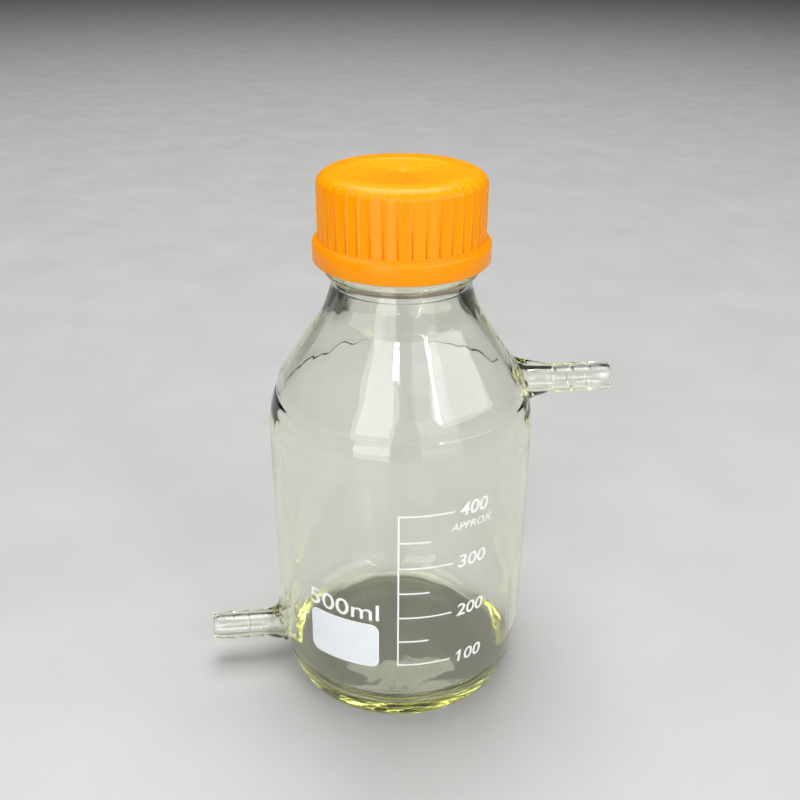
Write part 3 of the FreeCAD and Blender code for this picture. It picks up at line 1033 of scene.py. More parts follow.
class GlassSkin:
    """The bottle's grid of points and faces, opened for the barbs and closed over them."""

    def __init__(
        self,
        bottle: GlassBottle,
        outer_line: np.ndarray,
        inner_line: np.ndarray,
        outer_rows: np.ndarray,
        inner_rows: np.ndarray,
    ) -> None:
        """Lay out the turned grid.

        Args:
            bottle: Sizes of the bottle.
            outer_line: Outline of the outside.
            inner_line: Outline of the inside.
            outer_rows: Outline points where the outer rows lie.
            inner_rows: Outline points where the inner rows lie.
        """
        self.bottle = bottle
        self.lines = {True: outer_line, False: inner_line}
        self.rows = np.concatenate([outer_rows, inner_rows[1:]])
        self.outer_count = len(outer_rows)
        self.open = np.zeros((len(self.rows) - 3, bottle.columns), dtype=bool)
        self.points: list[np.ndarray] = []
        self.faces: list[np.ndarray] = []
        self.size = 0

    def add_points(self, points: np.ndarray) -> np.ndarray:
        """Add points and give their numbers."""
        numbers = np.arange(self.size, self.size + len(points))
        self.points.append(points)
        self.size += len(points)
        return numbers

    def surface_radius(
        self, outside: bool, angles: np.ndarray, heights: np.ndarray
    ) -> np.ndarray:
        """How far a skin of the glass stands from the axis.

        Args:
            outside: True for the outer skin.
            angles: Angle of each point round the bottle.
            heights: Height of each point.

        Returns:
            The skin's radius at each point.
        """
        line = self.lines[outside]
        if outside:
            rising = line[np.argmin(line[:, 1]) :]
            offset = self.bottle.outer_offset(angles, heights)
        else:
            rising = line[::-1][self.bottle.dome_steps :]
            offset = self.bottle.inner_offset(angles, heights)
        return np.interp(heights, rising[:, 1], rising[:, 0]) + offset

    def on_surface(
        self, outside: bool, side: int, across: np.ndarray, heights: np.ndarray
    ) -> np.ndarray:
        """How far along a barb's axis the skin lies, at points across it.

        Args:
            outside: True for the outer skin.
            side: Sign of X of the barb.
            across: Y of each point.
            heights: Z of each point.

        Returns:
            Distance from the bottle's axis plane, along the barb.
        """
        depth = np.sqrt(self.bottle.body_radius**2 - across**2)
        for _ in range(3):
            angles = np.arctan2(across, side * depth)
            radius = self.surface_radius(outside, angles, heights)
            depth = np.sqrt(radius**2 - across**2)
        return depth

    def grid(self) -> np.ndarray:
        """Add the turned points, and give their numbers by row and column."""
        bottle = self.bottle
        angles = np.arange(bottle.columns) * 2 * math.pi / bottle.columns
        inner_rows = self.rows[1:-1]
        turned = np.broadcast_to(angles, (len(inner_rows), bottle.columns))
        heights = np.broadcast_to(inner_rows[:, 1:2], turned.shape)
        outer = self.outer_count - 1
        rise = np.argmin(self.rows[:, 1])
        offsets = np.concatenate(
            [
                bottle.outer_offset(turned[:outer], heights[:outer]),
                bottle.inner_offset(turned[outer:], heights[outer:]),
            ]
        )
        offsets[:rise] = 0.0
        radius = inner_rows[:, :1] + offsets
        points = np.stack([radius * np.cos(turned), radius * np.sin(turned), heights], axis=2)
        return self.add_points(points.reshape(-1, 3)).reshape(turned.shape)

    def row_at(self, height: float, outside: bool) -> int:
        """Find the grid row that lies at a height.

        Args:
            height: The height.
            outside: True for the outer skin.

        Returns:
            Number of the row.
        """
        heights = self.rows[1:-1, 1].copy()
        outer = self.outer_count - 1
        rise = int(np.argmin(heights))
        if outside:
            heights[outer:] = np.inf
            heights[:rise] = np.inf
        else:
            heights[:outer] = np.inf
        return int(np.argmin(np.abs(heights - height)))

    def window(self, grid: np.ndarray, barb: HoseBarb, outside: bool) -> np.ndarray:
        """Open the grid for a barb.

        Args:
            grid: Numbers of the grid's points.
            barb: The barb.
            outside: True for the outer skin.

        Returns:
            Numbers of the points on the window's edge, in order round the barb.
        """
        bottle = self.bottle
        heights = barb.window_outside if outside else barb.window_inside
        first, last = sorted(self.row_at(h, outside) for h in heights)
        middle = 0 if barb.side is Side.RIGHT else bottle.columns // 2
        columns = np.arange(-bottle.window_columns, bottle.window_columns + 1) + middle
        columns %= bottle.columns
        self.open[first:last, columns[:-1]] = True
        sides = grid[first + 1 : last, columns[[0, -1]]].T.ravel()
        edge = np.concatenate([grid[first, columns], grid[last, columns], sides])
        points = np.concatenate(self.points)[edge]
        return edge[np.argsort(np.arctan2(points[:, 2] - barb.height, points[:, 1]))]

    def strip(self, first: np.ndarray, second: np.ndarray) -> None:
        """Join two closed rings of points by a strip of faces."""
        strip = [first, np.roll(first, -1), np.roll(second, -1), second]
        self.faces.append(np.stack(strip, axis=1))

    def skin_rings(self, barb: HoseBarb, outside: bool, edge: np.ndarray) -> list[np.ndarray]:
        """Rings on the bottle's own surface, from a window's edge to the foot of the root.

        Args:
            barb: The barb.
            outside: True for the outer skin.
            edge: Points of the window's edge.

        Returns:
            The rings, as ring_of gives them.
        """
        across = edge[:, 1]
        up = edge[:, 2] - barb.height
        angles = np.arctan2(up, across)
        wide = np.hypot(across, up)
        spread = barb.spread(angles) if outside else barb.mouth_spread
        made = []
        for k in range(1, barb.spread_rings + 1):
            ring = wide + (spread - wide) * k / barb.spread_rings
            y = ring * np.cos(angles)
            z = barb.height + ring * np.sin(angles)
            made.append(ring_of(ring, angles, self.on_surface(outside, barb.side.value, y, z)))
        return made

    def root_rings(
        self, barb: HoseBarb, outside: bool, foot: np.ndarray, neck: tuple[float, float, float]
    ) -> list[np.ndarray]:
        """Rings of the rounded root, from its foot on the bottle to the straight barb.

        Args:
            barb: The barb.
            outside: True for the outer skin.
            foot: Ring at the root's foot.
            neck: Radius, place and slope of the barb where the root ends.

        Returns:
            The rings, as ring_of gives them.
        """
        wide, angles, depth = foot.T
        small_step = 0.1 * MM
        nearer = wide - small_step
        y = nearer * np.cos(angles)
        z = barb.height + nearer * np.sin(angles)
        rise = (self.on_surface(outside, barb.side.value, y, z) - depth) / small_step
        start = np.stack([wide, depth], axis=1)
        end = np.broadcast_to((neck[0], neck[1]), start.shape)
        inward = np.stack([-np.ones_like(rise), rise], axis=1)
        inward /= np.linalg.norm(inward, axis=1, keepdims=True)
        along = np.array((neck[2], 1.0)) / math.hypot(neck[2], 1.0)
        first = start + inward * (wide - neck[0])[:, None] * barb.root_roundness
        last = end - along * (neck[1] - depth)[:, None] * barb.root_roundness
        rings = barb.root_rings if outside else barb.mouth_rings
        made = []
        for k in range(1, rings + 1):
            t = k / rings
            curve = start * (1 - t) ** 3 + first * 3 * t * (1 - t) ** 2
            curve = curve + last * 3 * t**2 * (1 - t) + end * t**3
            made.append(ring_of(curve[:, 0], angles, curve[:, 1]))
        return made

    def add_barb(self, grid: np.ndarray, barb: HoseBarb) -> None:
        """Open the grid for a barb and close it over the barb's outside and bore.

        Args:
            grid: Numbers of the grid's points.
            barb: The barb.
        """
        outer_edge = self.window(grid, barb, True)
        inner_edge = self.window(grid, barb, False)
        points = np.concatenate(self.points)
        line = barb.outline()
        outer = self.skin_rings(barb, True, points[outer_edge])
        inner = self.skin_rings(barb, False, points[inner_edge])
        neck = (line[0, 0], line[0, 1], -barb.slope())
        outer += self.root_rings(barb, True, outer[-1], neck)
        bore = (barb.bore_radius, barb.bore_start, 0.0)
        inner += self.root_rings(barb, False, inner[-1], bore)
        outer_angles = outer[-1][:, 1]
        twist = inner[-1][:, 1] - outer_angles
        for k, ring in enumerate(outer):
            wrinkles = barb.wrinkles(k, outer_angles)
            ring[:, 0] += wrinkles
            ring[:, 2] += barb.wrinkle_outwards * wrinkles
        shares = np.linspace(0.0, 1.0, len(line) - 2)
        straight = [
            ring_of(radius, outer_angles + twist * share, along)
            for share, (radius, along) in zip(shares, line[1:-1])
        ]
        previous = outer_edge
        for ring in outer + straight + inner[::-1]:
            wide, angles, depth = ring.T
            y = wide * np.cos(angles)
            z = barb.height + wide * np.sin(angles)
            numbers = self.add_points(np.stack([barb.side.value * depth, y, z], axis=1))
            self.strip(previous, numbers)
            previous = numbers
        self.strip(previous, inner_edge)

    def mesh(self) -> bpy.types.Mesh:
        """Close the skin and make its mesh.

        Returns:
            The mesh, smooth, with its faces outwards.
        """
        grid = self.grid()
        for barb in self.bottle.barbs:
            self.add_barb(grid, barb)
        ahead = np.roll(grid, -1, axis=1)
        quads = np.stack([grid[:-1], ahead[:-1], ahead[1:], grid[1:]], axis=2)
        self.faces.append(quads[~self.open])
        crown = self.rows[[0, -1]]
        poles = self.add_points(np.array([(0.0, 0.0, z) for z in crown[:, 1]]))
        fans = []
        for pole, ring in ((poles[0], grid[0]), (poles[1], grid[-1])):
            fans += [(int(pole), int(a), int(b)) for a, b in zip(ring, np.roll(ring, -1))]
        points = np.concatenate(self.points)
        faces = np.concatenate(self.faces)
        used = np.zeros(len(points), dtype=bool)
        used[faces.ravel()] = True
        used[poles] = True
        numbers = np.cumsum(used) - 1
        mesh = bpy.data.meshes.new("glass_bottle")
        all_faces = numbers[faces].tolist() + [[int(numbers[i]) for i in fan] for fan in fans]
        mesh.from_pydata(points[used].tolist(), [], all_faces)
        mesh.shade_smooth()
        point_outwards(mesh)
        return mesh


# Print


@dataclass(frozen=True)
class PrintArea:
    """A patch of the body in print coordinates: along the wall from its front, and height."""

    left: float
    right: float
    foot: float
    top: float


@dataclass(frozen=True)
class Lettering:
    """Words or a number of the print, fitted to its area."""

    name: str
    words: str
    area: PrintArea
    slant: float
    weight: float
    flag: bool = False


@dataclass
class EnamelScale:
    """The fired print: a graduated scale with numbers, the volume and a writing panel."""

    body_radius: float
    gap: float = 0.02 * MM
    thickness: float = 0.05 * MM
    left: float = -5.4 * MM
    lowest: float = 26.95 * MM
    spacing: float = 9.55 * MM
    marks: int = 7
    long_mark: float = 17.4 * MM
    short_mark: float = 9.85 * MM
    line_width: float = 0.56 * MM
    number_left: float = 13.8 * MM
    number_right: float = 24.1 * MM
    number_height: float = 4.7 * MM
    number_drop: float = 2.3 * MM
    numbers: int = 4
    number_slant: float = 0.12
    number_weight: float = 0.012
    flag_reach: float = 1.0 * MM
    note: PrintArea = PrintArea(10.9 * MM, 26.0 * MM, 77.1 * MM, 79.7 * MM)
    note_slant: float = 0.2
    note_weight: float = 0.008
    volume: PrintArea = PrintArea(-36.7 * MM, -11.5 * MM, 44.4 * MM, 50.7 * MM)
    volume_weight: float = 0.006
    panel: PrintArea = PrintArea(-36.4 * MM, -11.55 * MM, 25.4 * MM, 42.8 * MM)
    panel_rounding: float = 3.0 * MM
    panel_border: float = 0.45 * MM
    border_step: float = 0.01 * MM
    cut: float = 0.9 * MM

    def letterings(self) -> list[Lettering]:
        """Lay out the numbers and words of the print.

        Returns:
            The numbers from the lowest, the note above them and the volume.
        """
        made = []
        for i in range(self.numbers):
            number = str(100 * (i + 1))
            flag = number.startswith("1")
            left = self.number_left + self.flag_reach * flag
            foot = self.lowest + 2 * i * self.spacing - self.number_drop
            area = PrintArea(left, self.number_right, foot, foot + self.number_height)
            looks = (self.number_slant, self.number_weight, flag)
            made.append(Lettering("scale_" + number, number, area, *looks))
        note = Lettering("scale_note", "APPROX", self.note, self.note_slant, self.note_weight)
        volume = Lettering("volume_mark", "500ml", self.volume, 0.0, self.volume_weight)
        return made + [note, volume]

    def wrap(self, flat: np.ndarray) -> np.ndarray:
        """Lay flat print points on the wall.

        Args:
            flat: Rows of (along the wall, height, lift off it).

        Returns:
            The points in the bottle's frame.
        """
        radius = self.body_radius + self.gap + flat[:, 2]
        angle = flat[:, 0] / self.body_radius
        return np.stack([radius * np.sin(angle), -radius * np.cos(angle), flat[:, 1]], axis=1)

    def laid_on(
        self, name: str, work: bmesh.types.BMesh, enamel: bpy.types.Material
    ) -> bpy.types.Object:
        """Cut a flat shape into narrow strips and lay it on the wall.

        Args:
            name: Name of the piece.
            work: The flat shape, with its thickness. It is freed.
            enamel: Finish of the print.

        Returns:
            The piece, riding on the bottle.
        """
        places = [v.co.x for v in work.verts]
        start, end = min(places), max(places)
        for k in range(1, math.ceil((end - start) / self.cut)):
            bmesh.ops.bisect_plane(
                work,
                geom=work.verts[:] + work.edges[:] + work.faces[:],
                plane_co=(start + k * self.cut, 0, 0),
                plane_no=(1, 0, 0),
            )
        mesh = bpy.data.meshes.new(name)
        work.to_mesh(mesh)
        work.free()
        flat = np.empty(len(mesh.vertices) * 3)
        mesh.vertices.foreach_get("co", flat)
        mesh.vertices.foreach_set("co", self.wrap(flat.reshape(-1, 3)).ravel())
        point_outwards(mesh)
        mesh.materials.clear()
        mesh.materials.append(enamel)
        return placed(name, mesh)

    def lettering_shape(self, text: Lettering) -> bmesh.types.BMesh:
        """Flat, thick letters, fitted to their area.

        Args:
            text: The words and their area.

        Returns:
            The letters' mesh, in metres.
        """
        curve = bpy.data.curves.new(text.name, "FONT")
        curve.body = text.words
        curve.shear = text.slant
        curve.offset = text.weight
        curve.extrude = 0.5
        curve.resolution_u = 6
        drawn = placed(text.name, curve)
        evaluated = drawn.evaluated_get(bpy.context.evaluated_depsgraph_get())
        mesh = bpy.data.meshes.new_from_object(evaluated)
        bpy.data.objects.remove(drawn)
        work = bmesh.new()
        work.from_mesh(mesh)
        bmesh.ops.remove_doubles(work, verts=work.verts, dist=1e-4)
        low = [min(v.co[k] for v in work.verts) for k in range(3)]
        high = [max(v.co[k] for v in work.verts) for k in range(3)]
        area = text.area
        for vert in work.verts:
            share = [(vert.co[k] - low[k]) / (high[k] - low[k]) for k in range(3)]
            vert.co = (
                area.left + share[0] * (area.right - area.left),
                area.foot + share[1] * (area.top - area.foot),
                share[2] * self.thickness,
            )
        if text.flag:
            self.add_flag(work, area)
        return work

    def add_flag(self, work: bmesh.types.BMesh, area: PrintArea) -> None:
        """Give the one at the left end of a number the slanted flag of its head.

        Args:
            work: Mesh of the number.
            area: Area of the number without the flag.
        """
        reach = self.flag_reach
        shape = [(0.9, 0.0), (-0.6, 1.15), (-0.6, 1.75), (0.9, 0.75)]
        corners = [(area.left + x * reach, area.top - y * reach) for x, y in shape]
        raise_shape(work, corners, self.thickness)

    def panel_shape(self, inset: float, thickness: float) -> bmesh.types.BMesh:
        """Flat, thick writing panel with rounded corners.

        Args:
            inset: How far its edge is set in from the printed area.
            thickness: Height of its face.

        Returns:
            The panel's mesh.
        """
        rounding = self.panel_rounding - inset
        left = self.panel.left + self.panel_rounding
        right = self.panel.right - self.panel_rounding
        foot = self.panel.foot + self.panel_rounding
        top = self.panel.top - self.panel_rounding
        middles = [(right, top), (left, top), (left, foot), (right, foot)]
        steps = 8
        corners = []
        for quarter, (across, up) in enumerate(middles):
            for k in range(steps + 1):
                angle = (quarter + k / steps) * math.pi / 2
                x, y = rounding * math.cos(angle), rounding * math.sin(angle)
                corners.append((across + x, up + y))
        work = bmesh.new()
        raise_shape(work, corners, thickness)
        return work

    def marks_tree(self) -> GrowingTree:
        """Build the tree that rules the scale: an upright line and marks of two lengths.

        Returns:
            The tree. It lays the lines on the wall of the bottle.
        """
        values = {
            "Marks": self.marks,
            "Spacing": self.spacing,
            "Left": self.left,
            "Lowest": self.lowest,
            "Long Mark": self.long_mark,
            "Short Mark": self.short_mark,
            "Line Width": self.line_width,
            "Wall Radius": self.body_radius,
            "Gap": self.gap,
            "Thickness": self.thickness,
        }
        grown = GrowingTree("ruled_scale", values)
        given = grown.given
        width, thickness, wall = (given[k] for k in ("Line Width", "Thickness", "Wall Radius"))
        line = {
            "Count": given["Marks"],
            "Start Location": grown.vector(given["Left"], 0.0, given["Lowest"]),
            "Offset": grown.vector(0.0, 0.0, given["Spacing"]),
        }
        places = grown.add("GeometryNodeMeshLine", line, {"mode": "OFFSET"})
        size = {"Size": grown.vector(1.0, thickness, width), "Vertices X": 25}
        bar = {"Geometry": grown.add("GeometryNodeMeshCube", size)}
        shifted = grown.add("GeometryNodeTransform", {**bar, "Translation": (0.5, 0.0, 0.0)})
        odd = grown.math("MODULO", grown.add("GeometryNodeInputIndex"), 2.0)
        difference = grown.math("SUBTRACT", given["Short Mark"], given["Long Mark"])
        length = grown.math("MULTIPLY_ADD", odd, difference, given["Long Mark"])
        scale = grown.vector(length, 1.0, 1.0)
        inputs = {"Points": places, "Instance": shifted, "Scale": scale}
        marks = grown.add("GeometryNodeInstanceOnPoints", inputs)
        gaps = grown.math("SUBTRACT", given["Marks"], 1)
        height = grown.math("MULTIPLY", gaps, given["Spacing"])
        size = grown.vector(width, thickness, grown.math("ADD", height, width))
        middle = grown.math("MULTIPLY_ADD", height, 0.5, given["Lowest"])
        inputs = {
            "Geometry": grown.add("GeometryNodeMeshCube", {"Size": size}),
            "Translation": grown.vector(given["Left"], 0.0, middle),
        }
        upright = grown.add("GeometryNodeTransform", inputs)
        both = add_node(grown.tree, "GeometryNodeJoinGeometry", {"Geometry": upright})
        grown.tree.links.new(marks, both.inputs[0])
        real = grown.add("GeometryNodeRealizeInstances", {"Geometry": both.outputs[0]})
        flat = grown.parts(grown.add("GeometryNodeInputPosition"))
        angle = grown.math("DIVIDE", flat[0], wall)
        lift = grown.math("MULTIPLY_ADD", thickness, 0.5, given["Gap"])
        radius = grown.math("ADD", wall, grown.math("SUBTRACT", lift, flat[1]))
        behind = grown.math("MULTIPLY", radius, -1.0)
        across = grown.math("MULTIPLY", radius, grown.math("SINE", angle))
        towards = grown.math("MULTIPLY", behind, grown.math("COSINE", angle))
        grown.end(grown.move(real, grown.vector(across, towards, flat[2])))
        return grown

    def build(
        self, enamel: bpy.types.Material, matt_enamel: bpy.types.Material
    ) -> list[bpy.types.Object]:
        """Print the scale, its numbers, the volume and the panel.

        Args:
            enamel: Finish of the print.
            matt_enamel: Finish of the panel that is written on.

        Returns:
            The pieces of the print.
        """
        seed = bpy.data.meshes.new("scale_lines_seed")
        pieces = [self.marks_tree().grow("scale_lines", seed, enamel)]
        for text in self.letterings():
            pieces.append(self.laid_on(text.name, self.lettering_shape(text), enamel))
        border = self.panel_shape(0.0, self.thickness)
        pieces.append(self.laid_on("writing_panel_border", border, enamel))
        inner = self.panel_shape(self.panel_border, self.thickness + self.border_step)
        pieces.append(self.laid_on("writing_panel", inner, matt_enamel))
        for piece in pieces:
            piece.data.shade_flat()
            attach(piece, "glass_body")
        return pieces


# Cap


@dataclass
class ScrewCap:
    """The moulded cap: ribbed skirt, plain band, sunk top with its gate mark, and thread."""

    foot: float
    top: float
    ceiling: float
    rim_height: float
    inner_radius: float = 23.1 * MM
    valley_radius: float = 25.55 * MM
    band_radius: float = 27.5 * MM
    band_height: float = 7.0 * MM
    band_rounding: float = 1.5 * MM
    edge_rounding: float = 3.0 * MM
    rib_height: float = 0.24 * MM
    rib_foot_share: float = 0.44
    rib_top_share: float = 0.1
    ribs: int = 40
    recess_margin: float = 10.0 * MM
    recess_depth: float = 0.3 * MM
    dimple_radius: float = 2.0 * MM
    dimple_depth: float = 0.5 * MM
    nub_radius: float = 0.7 * MM
    nub_height: float = 0.45 * MM
    relief_depth: float = 1.4 * MM
    relief_height: float = 3.5 * MM
    lip_projection: float = 0.9 * MM
    lip_height: float = 0.9 * MM
    columns: int = 640
    thread_pitch: float = 4.0 * MM
    thread_turns: float = 1.75
    thread_start: float = 158.7 * MM
    thread_height: float = 1.5 * MM
    thread_foot: float = 2.2 * MM
    thread_crest: float = 1.0 * MM
    thread_steps: int = 96

    def outline(self) -> np.ndarray:
        """Draw the cap's outline.

        Returns:
            Points from the middle of the top, over the skirt and up the inside.
        """
        recess = self.top - self.recess_depth
        dimple = recess - self.dimple_depth
        recess_radius = self.valley_radius - self.recess_margin
        band_top = self.foot + self.band_height
        relief = self.inner_radius + self.relief_depth
        relief_top = self.foot + self.relief_height
        lip_top = self.rim_height - 0.3 * MM
        return rounded_line(
            [
                Corner(0.0, dimple + self.nub_height),
                Corner(self.nub_radius, dimple + self.nub_height, 0.15 * MM),
                Corner(self.nub_radius + 0.1 * MM, dimple, 0.15 * MM),
                Corner(self.dimple_radius - self.dimple_depth, dimple, 0.3 * MM),
                Corner(self.dimple_radius, recess, 0.3 * MM),
                Corner(recess_radius, recess, 1.2 * MM),
                Corner(recess_radius + 2 * self.recess_depth, self.top, 1.2 * MM),
                Corner(self.valley_radius, self.top, self.edge_rounding),
                Corner(self.valley_radius, band_top, 0.5 * MM),
                Corner(self.band_radius, band_top, self.band_rounding),
                Corner(self.band_radius, self.foot, 0.5 * MM),
                Corner(relief, self.foot, 0.3 * MM),
                Corner(relief, relief_top, 0.2 * MM),
                Corner(self.inner_radius, relief_top + self.relief_depth, 0.2 * MM),
                Corner(self.inner_radius, lip_top - self.lip_height, 0.2 * MM),
                Corner(
                    self.inner_radius - self.lip_projection,
                    lip_top - self.lip_height / 2,
                    0.3 * MM,
                ),
                Corner(self.inner_radius, lip_top, 0.2 * MM),
                Corner(self.inner_radius, self.ceiling, 0.3 * MM),
                Corner(0.0, self.ceiling),
            ],
            math.radians(9),
        )

    def lifts(self, line: np.ndarray) -> np.ndarray:
        """How far a rib lifts each point of the outline, outwards and up.

        Args:
            line: The cap's outline.

        Returns:
            Rows of (outwards, up). Only the skirt above the band and its top edge have ribs.
        """
        ahead = np.roll(line, -1, axis=0) - line
        behind = line - np.roll(line, 1, axis=0)
        along = ahead + behind
        along[0] = ahead[0]
        along[-1] = behind[-1]
        normals = np.stack([-along[:, 1], along[:, 0]], axis=1)
        normals /= np.linalg.norm(normals, axis=1, keepdims=True)
        outside = line[:, 0] > self.inner_radius - self.relief_depth
        outside &= np.arange(len(line)) < int(np.argmin(line[:, 1]))
        above_band = smooth_step(
            line[:, 1], self.foot + self.band_height, self.foot + self.band_height + 0.5 * MM
        )
        from_edge = self.valley_radius - line[:, 0]
        below_top = smooth_step(from_edge, 0.8 * self.edge_rounding, 0.1 * self.edge_rounding)
        share = outside * above_band * below_top * self.rib_height
        return normals * share[:, None]

    def thread_tree(self) -> GrowingTree:
        """Build the tree that winds a thread ridge up the inside of a wall.

        Returns:
            The tree. The ridge fades into the wall at both ends.
        """
        values = {
            "Wall Radius": self.inner_radius,
            "Start": self.thread_start,
            "Pitch": self.thread_pitch,
            "Turns": self.thread_turns,
            "Height": self.thread_height,
            "Foot Width": self.thread_foot,
            "Crest Width": self.thread_crest,
        }
        grown = GrowingTree("thread_ridge", values)
        given = grown.given
        rise = grown.math("MULTIPLY", given["Turns"], given["Pitch"])
        steps = grown.math("MULTIPLY", given["Turns"], self.thread_steps)
        inputs = {"Curve": grown.add("GeometryNodeCurvePrimitiveLine"), "Count": steps}
        fine = grown.add("GeometryNodeResampleCurve", inputs)
        share = grown.add("GeometryNodeSplineParameter")
        turns = grown.math("MULTIPLY", share, given["Turns"])
        angle = grown.math("MULTIPLY", turns, 2 * math.pi)
        height = grown.math("MULTIPLY_ADD", share, rise, given["Start"])
        helix = grown.move(fine, grown.round_axis(given["Wall Radius"], angle, height))
        upright = grown.add("GeometryNodeSetCurveNormal", {"Curve": helix}, {"mode": "Z_UP"})
        to_end = grown.math("MINIMUM", share, grown.math("SUBTRACT", 1.0, share))
        fade = grown.smooth(to_end, 0.0, 0.06, 0.05, 1.0)
        faded = grown.add("GeometryNodeSetCurveRadius", {"Curve": upright, "Radius": fade})
        sizes = {
            "Height": given["Height"],
            "Bottom Width": given["Foot Width"],
            "Top Width": given["Crest Width"],
            "Offset": 0.0,
        }
        kind = "GeometryNodeCurvePrimitiveQuadrilateral"
        section = grown.add(kind, sizes, {"mode": "TRAPEZOID"})
        inputs = {"Curve": faded, "Profile Curve": section, "Fill Caps": True}
        grown.end(grown.add("GeometryNodeCurveToMesh", inputs))
        return grown

    def build(
        self, turning: GrowingTree, plastic: bpy.types.Material
    ) -> list[bpy.types.Object]:
        """Make the cap with its ribs, and the thread inside it.

        Args:
            turning: Tree that turns an outline.
            plastic: Finish of the cap.

        Returns:
            The shell and the thread.
        """
        line = self.outline()
        ribbed = {
            "Columns": self.columns,
            "Ribs": self.ribs,
            "Rib Foot Share": self.rib_foot_share,
            "Rib Top Share": self.rib_top_share,
        }
        seed = outline_seed(line, self.lifts(line))
        shell = turning.grow("ribbed_cap", seed, plastic, ribbed)
        seed = bpy.data.meshes.new("cap_thread_seed")
        thread = self.thread_tree().grow("cap_thread", seed, plastic)
        for piece in (shell, thread):
            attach(piece, "cap")
        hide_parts("screw_cap")
        return [shell, thread]


@dataclass
class CapSeal:
    """The soft disc under the cap's ceiling, with a worn ring where the rim presses on it."""

    foot: float
    top: float
    radius: float
    rim_outer: float
    rim_inner: float
    dent: float = 0.08 * MM

    def build(self, turning: GrowingTree, rubber: bpy.types.Material) -> bpy.types.Object:
        """Make the seal.

        Args:
            turning: Tree that turns an outline.
            rubber: Finish of the seal.

        Returns:
            The seal.
        """
        rim = self.foot + self.dent
        line = rounded_line(
            [
                Corner(0.0, self.top),
                Corner(self.radius, self.top, 0.3 * MM),
                Corner(self.radius, self.foot, 0.3 * MM),
                Corner(self.rim_outer, self.foot, 0.2 * MM),
                Corner(self.rim_outer - 0.4 * MM, rim, 0.2 * MM),
                Corner(self.rim_inner + 0.4 * MM, rim, 0.2 * MM),
                Corner(self.rim_inner, self.foot, 0.2 * MM),
                Corner(0.0, self.foot),
            ],
            math.radians(15),
        )
        seal = turning.grow("silicone_seal", outline_seed(line), rubber)
        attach(seal, "seal")
        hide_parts("cap_seal")
        return seal


# Studio


@dataclass(frozen=True)
class SoftBox:
    """A soft studio light: where it stands, where it points, its size and its power."""

    name: str
    place: tuple[float, float, float]
    target: tuple[float, float, float]
    size: tuple[float, float]
    power: float

    def build(self) -> None:
        """Hang the light."""
        lamp = bpy.data.lights.new(self.name, "AREA")
        lamp.shape = "RECTANGLE"
        lamp.size, lamp.size_y = self.size
        lamp.energy = self.power
        holder = placed(self.name, lamp)
        holder.location = self.place
        aim = Vector(self.target) - Vector(self.place)
        holder.rotation_euler = aim.to_track_quat("-Z", "Y").to_euler()


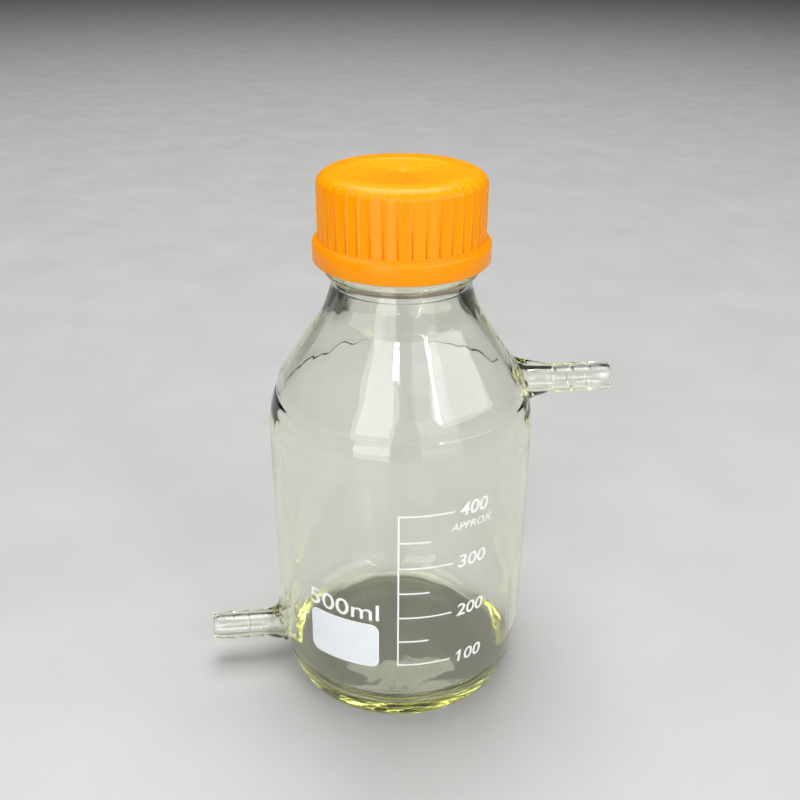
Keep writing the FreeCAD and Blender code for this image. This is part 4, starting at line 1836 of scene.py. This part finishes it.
@dataclass
class Studio:
    """The plain pale table, the soft lights round it and the camera at the photo's angle."""

    camera_distance: float = 0.2849
    camera_height: float = 0.2449
    camera_turn: float = math.radians(6.7)
    camera_dip: float = math.radians(26.69)
    camera_roll: float = 0.0071
    lens: float = 43.35
    sensor: float = 36.0
    axis_pixel: float = 400.7
    picture_width: float = 800.0
    floor_size: float = 16.0
    surroundings: str = "#6E7072"
    surroundings_strength: float = 0.22
    lights: list[SoftBox] = field(
        default_factory=lambda: [
            SoftBox("overhead", (0.0, 0.7, 2.0), (0.0, 0.7, 0.0), (1.8, 1.6), 54.0),
            SoftBox("left_wall", (-0.55, -0.95, 0.58), (0.0, 0.0, 0.4), (0.6, 1.1), 7.0),
            SoftBox("right_wall", (0.5, -0.98, 0.58), (0.0, 0.0, 0.4), (0.7, 1.1), 3.4),
            SoftBox("right_window", (0.88, -0.54, 0.74), (0.0, 0.0, 0.12), (1.2, 0.5), 4.8),
            SoftBox("window_edge", (0.478, -0.798, 0.9), (0.0, 0.0, 0.12), (0.06, 0.6), 1.0),
            SoftBox("lamp", (-0.169, -0.745, 0.797), (0.0, 0.0, 0.13), (0.10, 0.045), 0.9),
            SoftBox("left_ceiling", (-0.7, -0.23, 1.07), (0.0, 0.0, 0.12), (1.0, 0.35), 2.7),
        ]
    )

    def build_floor(self) -> None:
        """Lay the floor."""
        half = self.floor_size / 2
        mesh = bpy.data.meshes.new("studio_floor")
        corners = [(-half, -half, 0), (half, -half, 0), (half, half, 0), (-half, half, 0)]
        mesh.from_pydata(corners, [], [(0, 1, 2, 3)])
        mesh.materials.append(StudioFloor().build())
        placed("studio_floor", mesh)

    def build_surroundings(self) -> None:
        """Light the room evenly and faintly."""
        world = bpy.data.worlds.new("studio_room")
        world.use_nodes = True
        background = world.node_tree.nodes["Background"]
        background.inputs["Color"].default_value = srgb(self.surroundings)
        background.inputs["Strength"].default_value = self.surroundings_strength
        bpy.context.scene.world = world

    def build_camera(self) -> None:
        """Stand the camera where the photo was taken from."""
        lens = bpy.data.cameras.new("camera")
        lens.lens = self.lens
        lens.sensor_width = self.sensor
        lens.shift_x = (self.picture_width / 2 - self.axis_pixel) / self.picture_width
        camera = placed("camera", lens)
        side = math.sin(self.camera_turn)
        ahead = math.cos(self.camera_turn)
        camera.location = (
            -self.camera_distance * side,
            -self.camera_distance * ahead,
            self.camera_height,
        )
        level = math.cos(self.camera_dip)
        aim = Vector((side * level, ahead * level, -math.sin(self.camera_dip)))
        rolled = aim.to_track_quat("-Z", "Y") @ Quaternion((0, 0, 1), self.camera_roll)
        camera.rotation_euler = rolled.to_euler()
        bpy.context.scene.camera = camera

    def build(self) -> None:
        """Set up the whole studio."""
        self.build_floor()
        self.build_surroundings()
        self.build_camera()
        for light in self.lights:
            light.build()
        # Light crosses the double glass many times before it leaves
        scene = bpy.context.scene
        scene.cycles.max_bounces = 32
        scene.cycles.glossy_bounces = 24
        scene.cycles.transmission_bounces = 32
        scene.view_settings.view_transform = "Standard"


def main() -> None:
    """Build and dress every piece, and set up the studio."""
    logging.basicConfig(level=logging.INFO, format="%(message)s")
    bottle_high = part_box("bottle")[1]
    cap_low, cap_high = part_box("screw_cap")
    seal_low, seal_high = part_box("cap_seal")
    turning = turning_tree()

    bottle = GlassBottle(rim_height=bottle_high.z, barb_reach=bottle_high.x)
    report(bottle.build(BorosilicateGlass().build()))

    scale = EnamelScale(body_radius=bottle.body_radius)
    matt_enamel = FiredEnamel("matt_writing_enamel", "#ECF0F3", "#E6EBEF").build()
    for piece in scale.build(FiredEnamel().build(), matt_enamel):
        report(piece)

    cap = ScrewCap(
        foot=cap_low.z, top=cap_high.z, ceiling=seal_high.z, rim_height=bottle.rim_height
    )
    for piece in cap.build(turning, MouldedPolypropylene().build()):
        report(piece)

    seal = CapSeal(
        foot=seal_low.z,
        top=seal_high.z,
        radius=seal_high.x,
        rim_outer=bottle.neck_radius,
        rim_inner=bottle.bore_radius,
    )
    report(seal.build(turning, SiliconeRubber().build()))

    Studio().build()


if __name__ == "__main__":
    main()
